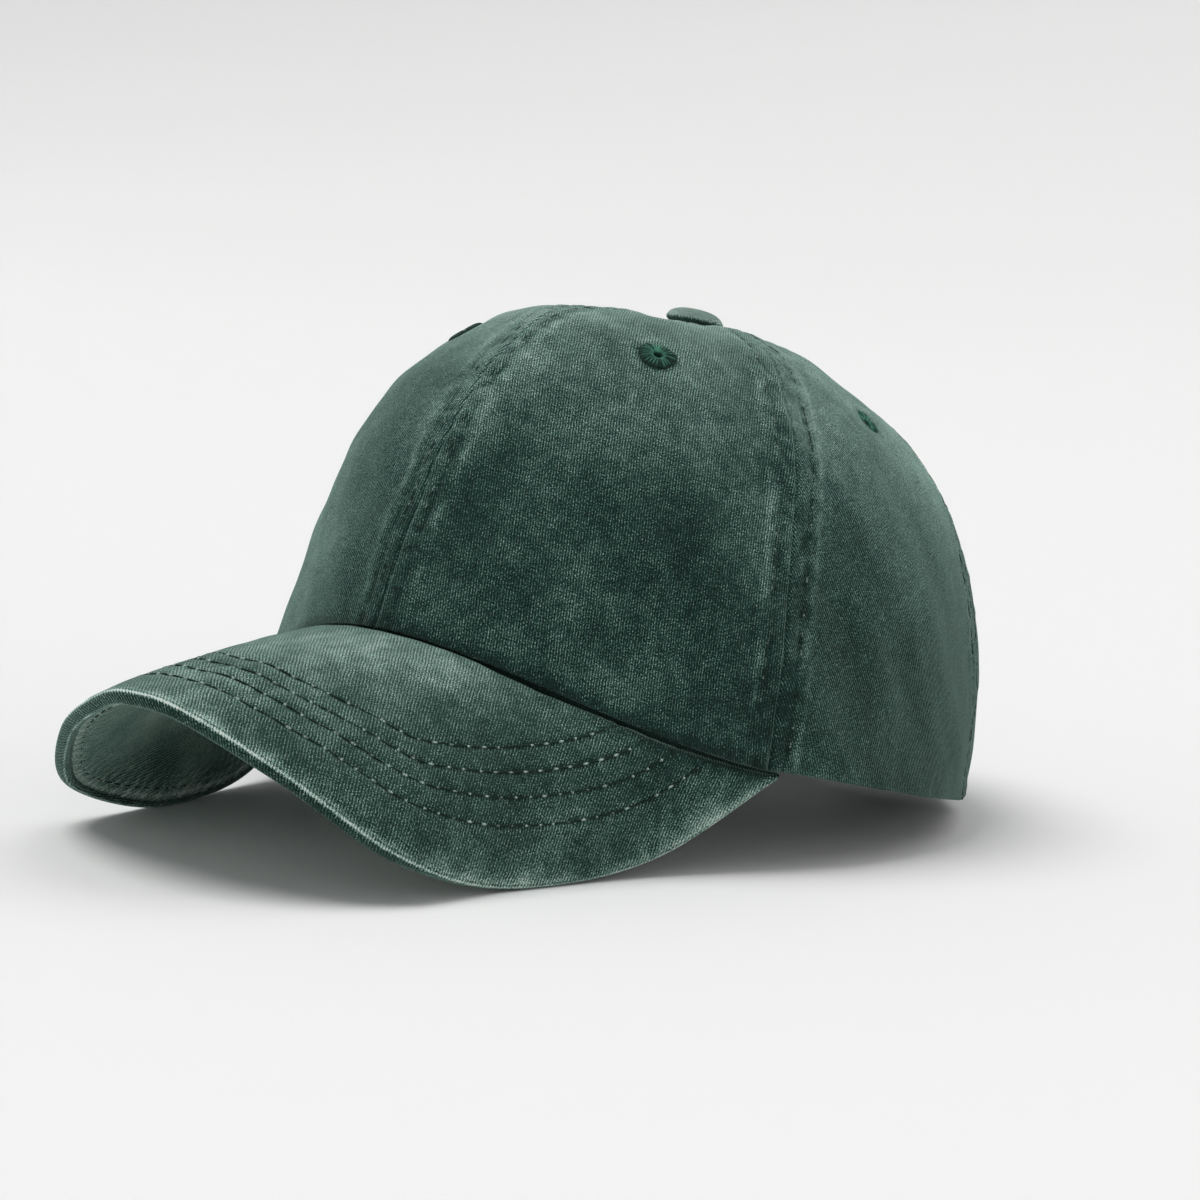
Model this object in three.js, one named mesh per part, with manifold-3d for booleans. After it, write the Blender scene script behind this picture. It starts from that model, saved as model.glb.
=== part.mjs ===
// A ponytail baseball cap of washed cotton twill, standing as it rests on a table: a crown of six panels
// with a button, embroidered eyelets and a sweatband, a strongly curved brim, and a high slit at the back
// for the hair, bound at its edge and closed at the rim by a hook-and-loop strap.
// Millimetres, +Z up. -Y is the front and +X the wearer's left.
import * as THREE from "three";
import { mergeVertices } from "three/addons/utils/BufferGeometryUtils.js";
import Module from "manifold-3d";

const wasm = await Module();
wasm.setup();

const { degToRad, lerp, smoothstep } = THREE.MathUtils;

// Crown, measured with the rim level: its outer face
const crownHalfWidth = 80;
const crownFrontLength = 103.4;
const crownBackLength = 96.5;
const crownHeight = 100.5;
const buttonForward = 2.4;
const rimPinch = 1.065; // 1 is an ellipse, and more draws the front and back to a blunter point
const frontFullness = 3.5; // superellipse powers of the front, side and back outlines
const sideFullness = 2.5;
const backFullness = 2.4;
const frontLean = 0.165; // share of its reach by which each outline leans in on its way up
const sideLean = 0.05;
const backLean = 0.04;
const frontArch = 15.3; // how far the brim lifts the rim at the front
const archReach = degToRad(67);
const backRise = 2.5;
const crownCloth = 1.4;
const levelHem = 0.1; // climb over which the cloth's thickness turns level towards the rim
const sideSeamAngle = degToRad(62);
const seamDip = 0.5;
const apexHoleRadius = 4;
const clearance = 0.3; // between pieces that are sewn together
const bandClearance = 0.45; // between layers that lie flat on each other

// Brim
const brimReachAngle = degToRad(65.3);
const brimProjection = 75;
const brimWingHalfWidth = 52.6;
const brimWingDrop = 49.9; // from the rim's front down to the lowest point of the wings
const brimCrown = 1.5;
const brimThickness = 3.4;
const brimTopCloth = 1.5;
const brimLip = 3.2; // the top cloth's turned edge, seen from below
const brimRootInset = 2.7;
const brimEnd = 0.985; // share of the reach at which its ends are closed

// Hair slit in the centre back, and its binding
const slitTop = degToRad(64); // how far the slit climbs from the rim, on the way to 90 at the button
const slitHalfWidth = 17;
const slitFoot = degToRad(0.35); // where its binding starts
const backScale = 90; // millimetres of cloth to a radian of climb up the back
const bindingLeg = 5;
const bindingCloth = 0.7;
const bindingCorner = 0.4;

// Closure strap, sweatband, button and eyelets
const strapFoot = 3;
const strapHeight = 24;
const strapHalfLength = 34;
const strapCloth = 1.5;
const strapSlope = 10; // length over which it comes down from the binding to the cloth
const sweatbandFoot = 1.2;
const sweatbandHeight = 30;
const sweatbandCloth = 1;
const sweatbandStop = 11; // from the centre back
const buttonRadius = 6.9;
const buttonHeight = 4;
const buttonEdge = 0.28; // share of its height at which it is widest
const buttonInset = 0.7; // how far it draws in underneath
const shankTail = 1; // how far the shank comes out inside the crown
const eyeletRadius = 4.6;
const eyeletHole = 1.2;
const eyeletSleeve = 2;
const eyeletRise = 0.85;
const frontEyelet = { angle: degToRad(33.3), climb: degToRad(51) };
const sideEyelet = { angle: degToRad(88), climb: degToRad(52.3) };
const settle = 0.5; // how far the soft back rim flattens on the table

// Half of the brim's outer edge, from its nose to its end at the rim: shares of the wing's half width, of
// the way forward from the rim's end to the nose, and of the wing's drop
const brimEdge = [
  { across: 0, forward: 0.99, drop: 0.465 },
  { across: 0.232, forward: 0.97, drop: 0.503 },
  { across: 0.6, forward: 0.889, drop: 0.677 },
  { across: 0.925, forward: 0.729, drop: 0.934 },
  { across: 1, forward: 0.499, drop: 1 },
  { across: 1.148, forward: 0.2136, drop: 0.8 },
];

// Half of the slit from the rim to its top: shares of the slit's climb and of its half width
const slitOutline = [
  { climb: 0, half: 0.2 },
  { climb: 0.2, half: 0.24 },
  { climb: 0.42, half: 0.6 },
  { climb: 0.62, half: 0.96 },
  { climb: 0.8, half: 0.94 },
  { climb: 0.94, half: 0.6 },
];

// Columns of a panel from one seam to the next, closer at the seams
const panelColumns = [0, 0.035, 0.12, 0.25, 0.375, 0.5, 0.625, 0.75, 0.88, 0.965, 1];
const backColumns = [0, 0.035, 0.12, 0.22, 0.32, 0.42, 0.52, 0.61, 0.7, 0.78, 0.86, 0.93, 1];
const panelRows = 15;
const slitSteps = 31;

const cloth = new THREE.MeshStandardMaterial({ color: 0x35574f, roughness: 0.95, metalness: 0 });
const underCloth = new THREE.MeshStandardMaterial({ color: 0x3b5a52, roughness: 0.95, metalness: 0 });
const thread = new THREE.MeshStandardMaterial({ color: 0x1d4a3c, roughness: 0.75, metalness: 0 });
const bandCloth = new THREE.MeshStandardMaterial({ color: 0x2f4e46, roughness: 0.95, metalness: 0 });

const signedPower = (value, power) => Math.sign(value) * Math.abs(value) ** power;

// The crown's lower outer edge: an oval that the brim lifts at the front.
function rimPoint(angle) {
  const c = Math.cos(angle);
  const length = c > 0 ? crownFrontLength : crownBackLength;
  const fromFront = Math.abs(Math.atan2(Math.sin(angle), c));
  const fade = Math.min(fromFront / archReach, 1);
  const arch = frontArch * Math.cos((Math.PI / 2) * fade) ** 2;
  const rise = c < 0 ? backRise * c * c : 0;
  const x = crownHalfWidth * signedPower(Math.sin(angle), rimPinch);
  return new THREE.Vector3(x, -length * signedPower(c, rimPinch), arch + rise);
}

// How round and how leaning the crown's outline is at an angle from the front.
function outlineAt(angle) {
  const c = Math.cos(angle);
  const front = Math.max(c, 0) ** 1.5;
  const back = Math.max(-c, 0) ** 1.5;
  const side = 1 - front - back;
  return {
    power: frontFullness * front + sideFullness * side + backFullness * back,
    lean: frontLean * front + sideLean * side + backLean * back,
  };
}

// The crown's outer face at an angle from the front and a climb, from 0 at the rim to a right angle at the
// button.
function crownPoint(angle, climb) {
  const { power, lean } = outlineAt(angle);
  const rim = rimPoint(angle);
  const height = Math.sin(climb) ** (2 / power);
  const out = Math.cos(climb) ** (2 / power) * (1 - lean * height);
  return new THREE.Vector3(
    rim.x * out,
    lerp(-buttonForward, rim.y, out),
    lerp(rim.z, crownHeight, height),
  );
}

function crownNormal(angle, climb) {
  const step = 1e-3;
  const low = Math.max(climb - step, 0);
  const high = Math.min(climb + step, Math.PI / 2 - step);
  const along = crownPoint(angle + step, climb).sub(crownPoint(angle - step, climb));
  return along.cross(crownPoint(angle, high).sub(crownPoint(angle, low))).normalize();
}

// A point under the crown's outer face. At the rim its depth is measured level, so that the hem is flat.
function underCrown(angle, climb, depth) {
  const normal = crownNormal(angle, climb);
  normal.z *= smoothstep(climb, 0, levelHem);
  return crownPoint(angle, climb).addScaledVector(normal.normalize(), -depth);
}

// The reach of the crown from its axis, which turns a length along it into an angle.
function reachAt(angle, climb) {
  const p = crownPoint(angle, climb);
  return Math.hypot(p.x, p.y + buttonForward);
}

// The climb at which the crown is a given distance from its axis.
function climbAtReach(angle, reach) {
  let low = 0.5;
  let high = Math.PI / 2;
  for (let i = 0; i < 40; i++) {
    const middle = (low + high) / 2;
    if (reachAt(angle, middle) > reach) low = middle;
    else high = middle;
  }
  return low;
}

// The climb at a height above the rim.
const climbAtHeight = (angle, height) =>
  Math.asin((height / (crownHeight - rimPoint(angle).z)) ** (outlineAt(angle).power / 2));

// A point on the centre back: a length towards the wearer's left, a climb, and a depth under the outer
// face.
const onBack = (left, climb, depth) =>
  underCrown(Math.PI - left / reachAt(Math.PI, climb), climb, depth);

// The slit's edge laid flat, from its foot on the wearer's left over the top to its foot on the right.
function slitEdge() {
  const half = slitOutline.map((row) => {
    const climb = Math.max(row.climb * slitTop, slitFoot);
    return new THREE.Vector3(row.half * slitHalfWidth, backScale * climb, 0);
  });
  const mirrored = half.map((p) => new THREE.Vector3(-p.x, p.y, 0)).toReversed();
  const top = new THREE.Vector3(0, backScale * slitTop, 0);
  return new THREE.CatmullRomCurve3([...half, top, ...mirrored]).getSpacedPoints(slitSteps);
}

// A closed sheet between an outer and an inner grid of points. Seen from outside, columns run to the right
// and rows run up.
function closedSheet(outer, inner) {
  const rows = outer.length;
  const columns = outer[0].length;
  const points = [...outer.flat(), ...inner.flat()];
  const out = (i, j) => i * columns + j;
  const back = (i, j) => rows * columns + i * columns + j;
  const faces = [];
  const quad = (a, b, c, d) => faces.push(a, b, c, a, c, d);
  for (let i = 0; i < rows - 1; i++) {
    for (let j = 0; j < columns - 1; j++) {
      quad(out(i, j), out(i, j + 1), out(i + 1, j + 1), out(i + 1, j));
      quad(back(i, j), back(i + 1, j), back(i + 1, j + 1), back(i, j + 1));
    }
    quad(out(i, columns - 1), back(i, columns - 1), back(i + 1, columns - 1), out(i + 1, columns - 1));
    quad(back(i, 0), out(i, 0), out(i + 1, 0), back(i + 1, 0));
  }
  for (let j = 0; j < columns - 1; j++) {
    quad(back(0, j), back(0, j + 1), out(0, j + 1), out(0, j));
    quad(out(rows - 1, j), out(rows - 1, j + 1), back(rows - 1, j + 1), back(rows - 1, j));
  }
  const geometry = new THREE.BufferGeometry().setFromPoints(points);
  geometry.setIndex(faces);
  return geometry;
}

const grid = (rows, columns, pointAt) =>
  rows.map((row) => columns.map((column) => pointAt(row, column)));

const evenly = (count, from = 0, to = 1) =>
  Array.from({ length: count }, (_, i) => lerp(from, to, i / (count - 1)));

function toSolid(geometry) {
  const bare = geometry.clone();
  bare.deleteAttribute("normal");
  bare.deleteAttribute("uv");
  const merged = mergeVertices(bare, 1e-4);
  return new wasm.Manifold(
    new wasm.Mesh({
      numProp: 3,
      vertProperties: merged.attributes.position.array,
      triVerts: new Uint32Array(merged.index.array),
    }),
  );
}

function toGeometry(solid) {
  const mesh = solid.getMesh();
  const geometry = new THREE.BufferGeometry();
  geometry.setAttribute("position", new THREE.BufferAttribute(new Float32Array(mesh.vertProperties), 3));
  geometry.setIndex(Array.from(mesh.triVerts));
  return geometry;
}

const cutFrom = (geometry, ...tools) =>
  toGeometry(tools.reduce((solid, tool) => solid.subtract(toSolid(tool)), toSolid(geometry)));

// One crown panel between two angles from the front.
function panelGeometry(from, to, columns = panelColumns) {
  const climbs = evenly(panelRows);
  const face = (depthAt) =>
    grid(climbs, columns, (share, column) => {
      const middle = lerp(from, to, column);
      const climb = share * climbAtReach(middle, apexHoleRadius);
      const gap = clearance / 2 / reachAt(middle, climb);
      return underCrown(lerp(from + gap, to - gap, column), climb, depthAt(column));
    });
  const dip = (column) => (column === 0 || column === 1 ? seamDip : 0);
  return closedSheet(face(dip), face(() => crownCloth));
}

// The slit as a solid through the cloth, running out below the rim.
function slitCutter() {
  const edge = slitEdge();
  const left = edge.slice(0, edge.length / 2);
  const depth = 4 * crownCloth;
  const face = (side) => {
    const under = crownCloth / 2 - side * depth;
    const rows = left.map((p) => [p.x, -p.x].map((x) => onBack(x, p.y / backScale, under)));
    const below = rows[0].map((p) => p.clone().setZ(-depth));
    return [below, ...rows];
  };
  return closedSheet(face(1), face(-1));
}

// The frame of an eyelet or a button on the crown: its place, with +Z along the crown's normal.
function seatOnCrown(mesh, { angle, climb }) {
  mesh.position.copy(crownPoint(angle, climb));
  mesh.quaternion.setFromUnitVectors(new THREE.Vector3(0, 0, 1), crownNormal(angle, climb));
  return mesh;
}

const turned = (points, segments) =>
  new THREE.LatheGeometry(points.map(([r, z]) => new THREE.Vector2(r, z)), segments).rotateX(Math.PI / 2);

// A stitched eyelet: a ring on the cloth and a short sleeve through it.
function eyeletGeometry() {
  const seat = clearance;
  const profile = [
    [eyeletHole, -crownCloth - clearance],
    [eyeletSleeve, -crownCloth - clearance],
    [eyeletSleeve, seat],
    [eyeletRadius, seat],
    [eyeletRadius, seat + 0.3 * eyeletRise],
    [lerp(eyeletHole, eyeletRadius, 0.75), seat + 0.9 * eyeletRise],
    [lerp(eyeletHole, eyeletRadius, 0.4), seat + eyeletRise],
    [eyeletHole, seat + 0.5 * eyeletRise],
    [eyeletHole, -crownCloth - clearance],
  ];
  return turned(profile, 18);
}

const eyeletCutter = ({ angle, climb }) => {
  const radius = eyeletSleeve + clearance;
  const cylinder = new THREE.CylinderGeometry(radius, radius, 8 * crownCloth, 16);
  const drill = new THREE.Mesh(cylinder.rotateX(Math.PI / 2));
  seatOnCrown(drill, { angle, climb }).updateMatrix();
  return drill.geometry.applyMatrix4(drill.matrix);
};

// The covered button, with the shank that holds it in the hole where the panels meet.
function buttonGeometry() {
  const shank = apexHoleRadius - 2 * clearance;
  const tail = -crownCloth - shankTail;
  const profile = [
    [0, tail],
    [shank, tail],
    [shank, clearance],
    [buttonRadius - buttonInset, clearance],
  ];
  for (const turn of evenly(8)) {
    const bend = turn * (Math.PI / 2);
    const height = buttonHeight * lerp(buttonEdge, 1, Math.sin(bend));
    profile.push([buttonRadius * Math.cos(bend) ** 0.7, clearance + height]);
  }
  profile[profile.length - 1][0] = 0;
  return turned(profile, 24);
}

// The brim's root lies under the crown's hem.
const brimRoot = (side) => rimPoint(brimReachAngle * side).sub(new THREE.Vector3(0, 0, clearance));

// The brim's outer edge, from -1 at one end through 0 at the nose to 1 at the other: a smooth curve through
// the rows of its table.
function brimEdgePoint(side) {
  const end = brimRoot(1);
  const reach = brimProjection + crownFrontLength + end.y;
  const knots = brimEdge.map(({ across, forward, drop }) => {
    const low = frontArch - drop * brimWingDrop;
    return new THREE.Vector3(across * brimWingHalfWidth, end.y - forward * reach, low);
  });
  knots.push(end);
  const last = knots.length - 1;
  const knot = (k) => {
    if (k < 0) return knots[-k].clone().setX(-knots[-k].x);
    if (k > last) return knots[last].clone().multiplyScalar(2).sub(knots[2 * last - k]);
    return knots[k];
  };
  const place = Math.min(Math.abs(side) * last, last - 1e-9);
  const k = Math.floor(place);
  const t = place - k;
  const [a, b, c, d] = [knot(k - 1), knot(k), knot(k + 1), knot(k + 2)];
  const blend = (p, q, r, s) =>
    0.5 * (2 * q + (r - p) * t + (2 * p - 5 * q + 4 * r - s) * t ** 2 + (3 * q - p - 3 * r + s) * t ** 3);
  const x = blend(a.x, b.x, c.x, d.x);
  return new THREE.Vector3(side < 0 ? -x : x, blend(a.y, b.y, c.y, d.y), blend(a.z, b.z, c.z, d.z));
}

// The brim's top face from its root, at 0, to its outer edge, at 1.
function brimPoint(side, out) {
  const p = brimRoot(side).lerp(brimEdgePoint(side), out);
  p.z += brimCrown * 4 * out * (1 - out) * (1 - Math.abs(side) ** 3);
  return p;
}

function brimNormal(side, out) {
  const step = 1e-3;
  const across = brimPoint(side + step, out).sub(brimPoint(side - step, out));
  const away = brimPoint(side, out + step).sub(brimPoint(side, out - step));
  return across.cross(away).negate().normalize();
}

const brimWidthAt = (side) => brimRoot(side).distanceTo(brimEdgePoint(side));

// A point of the brim at a share of the way out and a depth under its top face.
const underBrim = (side, out, depth) =>
  brimPoint(side, out).addScaledVector(brimNormal(side, out), -depth);

// The root's hidden strip, which runs in level under the crown's wall. Where the brim stands steeply its own
// thickness lies under the wall, and the strip shrinks to nothing.
function brimRootInside(side, depth) {
  const step = 1e-3;
  const along = brimRoot(side + step).sub(brimRoot(side - step)).setZ(0).normalize();
  const inward = new THREE.Vector3(-along.y, along.x, 0);
  const down = brimNormal(side, 0);
  const flat = Math.max(smoothstep(down.z, 0.45, 0.8), 0.04);
  down.lerp(new THREE.Vector3(0, 0, 1), flat).normalize();
  return brimRoot(side).addScaledVector(inward, brimRootInset * flat).addScaledVector(down, -depth);
}

const brimSides = evenly(37, -brimEnd, brimEnd);

// The upper brim cloth: it covers the top, turns round the edge and ends in a lip on the underside.
function brimTopGeometry() {
  const roll = brimThickness / 2;
  const outs = evenly(8);
  const turns = evenly(5, Math.PI / 2, -Math.PI / 2);
  const strip = (side, depth) => {
    const width = brimWidthAt(side);
    const rollStart = 1 - roll / width;
    const top = outs.map((out) => underBrim(side, out * rollStart, depth));
    const points = [brimRootInside(side, depth), ...top];
    const normal = brimNormal(side, rollStart);
    const away = brimPoint(side, 1).sub(brimPoint(side, rollStart));
    away.addScaledVector(normal, -away.dot(normal)).normalize();
    const centre = underBrim(side, rollStart, roll);
    const radius = roll - depth;
    const at = (turn) =>
      centre
        .clone()
        .addScaledVector(away, radius * Math.cos(turn))
        .addScaledVector(normal, radius * Math.sin(turn));
    points.push(...turns.slice(1).map(at));
    const lip = Math.min(brimLip - roll, 0.3 * width);
    points.push(at(-Math.PI / 2).addScaledVector(away, -lip));
    return points;
  };
  // Seen from above with the nose to the right, the sides run up from the wearer's right.
  return closedSheet(
    brimSides.map((side) => strip(side, 0)),
    brimSides.map((side) => strip(side, brimTopCloth)),
  );
}

// The lower brim cloth, which butts against the lip and shares the upper cloth's folds.
function brimUnderGeometry() {
  const sides = brimSides.slice(2, -2);
  const outs = evenly(8);
  const strip = (side, depth) => {
    const end = 1 - (brimLip + clearance) / brimWidthAt(side);
    return [brimRootInside(side, depth), ...outs.map((out) => underBrim(side, out * end, depth))];
  };
  return closedSheet(
    sides.map((side) => strip(side, brimTopCloth + bandClearance)),
    sides.map((side) => strip(side, brimThickness)),
  );
}

// The sweatband follows the inside of the rim and stops on each side of the slit. Its folds fall where the
// panels' do.
function sweatbandGeometry() {
  const end = Math.PI - sweatbandStop / crownBackLength;
  const seams = [0, sideSeamAngle, Math.PI - sideSeamAngle, Math.PI];
  const half = [panelColumns, panelColumns, backColumns].flatMap((columns, i) =>
    columns.slice(1).map((column) => lerp(seams[i], seams[i + 1], column)),
  );
  const left = [...half.filter((angle) => angle < end), end];
  const angles = [...left.map((angle) => -angle).toReversed(), 0, ...left];
  const heights = [sweatbandFoot, sweatbandFoot + sweatbandHeight / 2, sweatbandFoot + sweatbandHeight];
  const face = (depth) =>
    grid(heights, angles, (height, angle) =>
      underCrown(angle, climbAtHeight(angle, height), depth),
    );
  const outside = crownCloth + bandClearance;
  return closedSheet(face(outside), face(outside + sweatbandCloth));
}

// The binding is folded round the slit's edge, up one side and down the other.
function bindingGeometry() {
  const edge = slitEdge();
  const strip = (inset) =>
    edge.map((p, i) => {
      const next = edge[Math.min(i + 1, edge.length - 1)];
      const along = next.clone().sub(edge[Math.max(i - 1, 0)]).normalize();
      const half = crownCloth / 2 + bandClearance + bindingCloth - inset;
      const fold = bandClearance + bindingCloth - inset;
      const section = [
        [-bindingLeg, half],
        [-bindingLeg / 2, half],
        [fold - bindingCorner, half],
        [fold, half - bindingCorner],
        [fold, bindingCorner - half],
        [fold - bindingCorner, -half],
        [-bindingLeg / 2, -half],
        [-bindingLeg, -half],
      ];
      return section.map(([into, high]) =>
        onBack(p.x - along.y * into, (p.y + along.x * into) / backScale, crownCloth / 2 - high),
      );
    });
  return closedSheet(strip(0), strip(bindingCloth));
}

// The closure strap lies over the binding and comes down to the cloth at both ends.
function strapGeometry() {
  const bound = 0.3 * slitHalfWidth + bindingLeg;
  const lengths = evenly(17, strapHalfLength, -strapHalfLength);
  const heights = evenly(4, strapFoot, strapFoot + strapHeight);
  const face = (thickness) =>
    grid(heights, lengths, (height, left) => {
      const angle = Math.PI - left / crownBackLength;
      const over = 1 - smoothstep(Math.abs(left), bound + 1, bound + 1 + strapSlope);
      const lift = clearance + over * (bindingCloth + 2 * clearance);
      return underCrown(angle, climbAtHeight(angle, height), -lift - thickness);
    });
  return closedSheet(face(strapCloth), face(0));
}

// The tilt and lift at which the cap stands on its wings and its back rim, found by halving.
function restPose(brim) {
  const { position } = brim.attributes;
  const wing = Array.from({ length: position.count }, (_, i) =>
    new THREE.Vector3().fromBufferAttribute(position, i),
  );
  const rim = evenly(31, Math.PI / 2, Math.PI).map(rimPoint);
  const lowest = (points, tilt) =>
    Math.min(...points.map((p) => p.z * Math.cos(tilt) - p.y * Math.sin(tilt)));
  let low = 0;
  let high = degToRad(40);
  for (let i = 0; i < 40; i++) {
    const tilt = (low + high) / 2;
    if (lowest(wing, tilt) > lowest(rim, tilt) + settle) high = tilt;
    else low = tilt;
  }
  return { tilt: low, lift: -lowest(wing, low) };
}

const cap = new THREE.Group();
const brimTop = brimTopGeometry();
const { tilt, lift } = restPose(brimTop);
cap.rotation.x = -tilt;
cap.position.z = lift;
cap.updateMatrix();

// The table, as a block in the cap's own frame
function tableBlock() {
  const depth = crownHeight / 5;
  const block = new THREE.BoxGeometry(4 * crownHalfWidth, 6 * crownBackLength, depth);
  return block.translate(0, 0, -depth / 2).applyMatrix4(cap.matrix.clone().invert());
}

function add(name, geometry, material) {
  const mesh = new THREE.Mesh(geometry, material);
  mesh.name = name;
  cap.add(mesh);
  return mesh;
}

for (const [hand, sign] of [["left", 1], ["right", -1]]) {
  const span = (a, b) => (sign > 0 ? [a, b] : [-b, -a]);
  const [frontSpot, sideSpot] = [frontEyelet, sideEyelet].map(({ angle, climb }) => ({
    angle: sign * angle,
    climb,
  }));
  const front = panelGeometry(...span(0, sideSeamAngle));
  const side = panelGeometry(...span(sideSeamAngle, Math.PI - sideSeamAngle));
  const backwards = backColumns.map((column) => 1 - column).toReversed();
  const columns = sign > 0 ? backColumns : backwards;
  const back = panelGeometry(...span(Math.PI - sideSeamAngle, Math.PI), columns);
  add(`front_panel_${hand}`, cutFrom(front, eyeletCutter(frontSpot)), cloth);
  add(`side_panel_${hand}`, cutFrom(side, eyeletCutter(sideSpot)), cloth);
  add(`back_panel_${hand}`, cutFrom(back, slitCutter(), tableBlock()), cloth);
  seatOnCrown(add(`front_eyelet_${hand}`, eyeletGeometry(), thread), frontSpot);
  seatOnCrown(add(`side_eyelet_${hand}`, eyeletGeometry(), thread), sideSpot);
}
add("button", buttonGeometry(), cloth).position.set(0, -buttonForward, crownHeight);
add("brim_top", brimTop, cloth);
add("brim_under", brimUnderGeometry(), underCloth);
add("sweatband", sweatbandGeometry(), bandCloth);
add("slit_binding", bindingGeometry(), bandCloth);
add("closure_strap", strapGeometry(), cloth);

// The origin is on the table, under the middle of the cap's box.
const box = new THREE.Box3().setFromObject(cap, true);
cap.position.y -= (box.min.y + box.max.y) / 2;

const part = new THREE.Group();
part.add(cap);
part.updateMatrixWorld(true);

export default part;
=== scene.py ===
import bpy
import numpy as np
from mathutils import Matrix


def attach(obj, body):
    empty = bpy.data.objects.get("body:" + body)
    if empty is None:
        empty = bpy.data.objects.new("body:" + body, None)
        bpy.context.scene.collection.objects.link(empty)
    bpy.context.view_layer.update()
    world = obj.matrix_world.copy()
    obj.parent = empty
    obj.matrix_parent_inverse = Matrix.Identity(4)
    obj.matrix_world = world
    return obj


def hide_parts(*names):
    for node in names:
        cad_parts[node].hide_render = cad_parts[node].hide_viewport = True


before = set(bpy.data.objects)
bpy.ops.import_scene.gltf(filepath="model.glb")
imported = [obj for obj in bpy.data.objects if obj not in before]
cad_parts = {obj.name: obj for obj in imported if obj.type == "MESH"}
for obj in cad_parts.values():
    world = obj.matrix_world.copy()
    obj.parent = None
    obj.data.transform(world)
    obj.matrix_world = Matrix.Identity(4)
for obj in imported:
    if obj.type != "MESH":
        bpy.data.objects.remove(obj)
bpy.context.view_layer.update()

# The camera stands 0.9 m off the wearer's front left, a little above the table, with a long lens. It is
# rolled as the photograph is, and aims a little below and beside the middle of the crown.
TARGET = np.array([0.0, 0.03736, 0.070])
DISTANCE, AIM_LEFT, AIM_DOWN = 0.9, 0.0116, 0.0211
AZIMUTH, ELEVATION, ROLL = np.radians([35.4, 5.8, 4.65])
toward = np.array([
    np.sin(AZIMUTH) * np.cos(ELEVATION), -np.cos(AZIMUTH) * np.cos(ELEVATION), np.sin(ELEVATION),
])
level = np.array([np.cos(AZIMUTH), np.sin(AZIMUTH), 0.0])
right = level * np.cos(ROLL) + np.cross(toward, level) * np.sin(ROLL)
up = np.cross(toward, right)
eye = TARGET + DISTANCE * toward
back = eye - (TARGET - AIM_LEFT * right - AIM_DOWN * up)
back /= np.linalg.norm(back)
right = np.cross(up, back)
right /= np.linalg.norm(right)
camera = bpy.data.objects.new("camera", bpy.data.cameras.new("camera"))
camera.data.lens = 112.3
camera.data.sensor_width = 36.0
turned = Matrix(np.stack([right, np.cross(back, right), back], 1)).to_4x4()
camera.matrix_world = Matrix.Translation(eye) @ turned
bpy.context.scene.collection.objects.link(camera)
bpy.context.scene.camera = camera


# A pale studio: a round paper floor that sweeps up into a low wall, soft light from above on the wearer's
# front left, and an even pale sky.
def to_linear(code):
    """A colour as red, green, blue and alpha for a shader, from its sRGB hex value."""
    srgb = np.array([int(code[i:i + 2], 16) / 255 for i in (1, 3, 5)])
    linear = np.where(srgb <= 0.04045, srgb / 12.92, ((srgb + 0.055) / 1.055) ** 2.4)
    return (*linear.tolist(), 1.0)


def add_node(tree, kind, settings=None, links=None):
    """A node of a kind, with its settings, which are its own or its inputs', and the sockets linked to it."""
    made = tree.nodes.new(kind)
    for name, value in (settings or {}).items():
        if isinstance(name, str) and hasattr(made, name):
            setattr(made, name, value)
        else:
            made.inputs[name].default_value = value
    for name, socket in (links or {}).items():
        tree.links.new(socket, made.inputs[name])
    return made


def new_material(name):
    """An empty material and its node tree."""
    material = bpy.data.materials.new(name)
    material.use_nodes = True
    material.node_tree.nodes.clear()
    return material, material.node_tree


def make_object(name, points, faces, material):
    """A smooth mesh object from arrays of points in metres and faces of four."""
    mesh = bpy.data.meshes.new(name)
    mesh.from_pydata(points.reshape(-1, 3).tolist(), [], faces.tolist())
    mesh.polygons.foreach_set("use_smooth", np.ones(len(mesh.polygons), bool))
    mesh.materials.append(material)
    mesh.update()
    made = bpy.data.objects.new(name, mesh)
    bpy.context.scene.collection.objects.link(made)
    return made


def turned_faces(rings, spokes):
    """Faces between neighbouring rings of points, each turned once round."""
    ring, spoke = np.meshgrid(np.arange(rings - 1) * spokes, np.arange(spokes), indexing="ij")
    beside = (spoke + 1) % spokes
    nxt = ring + spokes
    return np.stack([ring + spoke, ring + beside, nxt + beside, nxt + spoke], -1).reshape(-1, 4)


# Matt studio paper: almost white, and rough, so that it gives no reflection.
paper, tree = new_material("matt_studio_paper")
surface = add_node(tree, "ShaderNodeBsdfPrincipled", {
    "Base Color": to_linear("#eeeeed"), "Roughness": 0.9, "Specular IOR Level": 0.2,
})
add_node(tree, "ShaderNodeOutputMaterial", links={"Surface": surface.outputs[0]})

# Out along the flat, then up a quarter circle and a low wall, turned once round.
FLAT, BEND, WALL, FLOOR_SPOKES = 2.0, 1.2, 0.6, 96
sweep = np.linspace(0, np.pi / 2, 17)
reach = np.concatenate([[1e-4, 0.3, 0.8, 1.4], FLAT + BEND * np.sin(sweep), [FLAT + BEND]])
height = np.concatenate([[0, 0, 0, 0], BEND - BEND * np.cos(sweep), [BEND + WALL]])
turn = np.linspace(0, 2 * np.pi, FLOOR_SPOKES + 1)[:-1]
points = np.stack([
    np.outer(reach, np.cos(turn)), np.outer(reach, np.sin(turn)), np.outer(height, np.ones(FLOOR_SPOKES)),
], 2)
faces = turned_faces(len(reach), FLOOR_SPOKES)[:, ::-1]
make_object("paper_floor", points, faces, paper)

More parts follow.
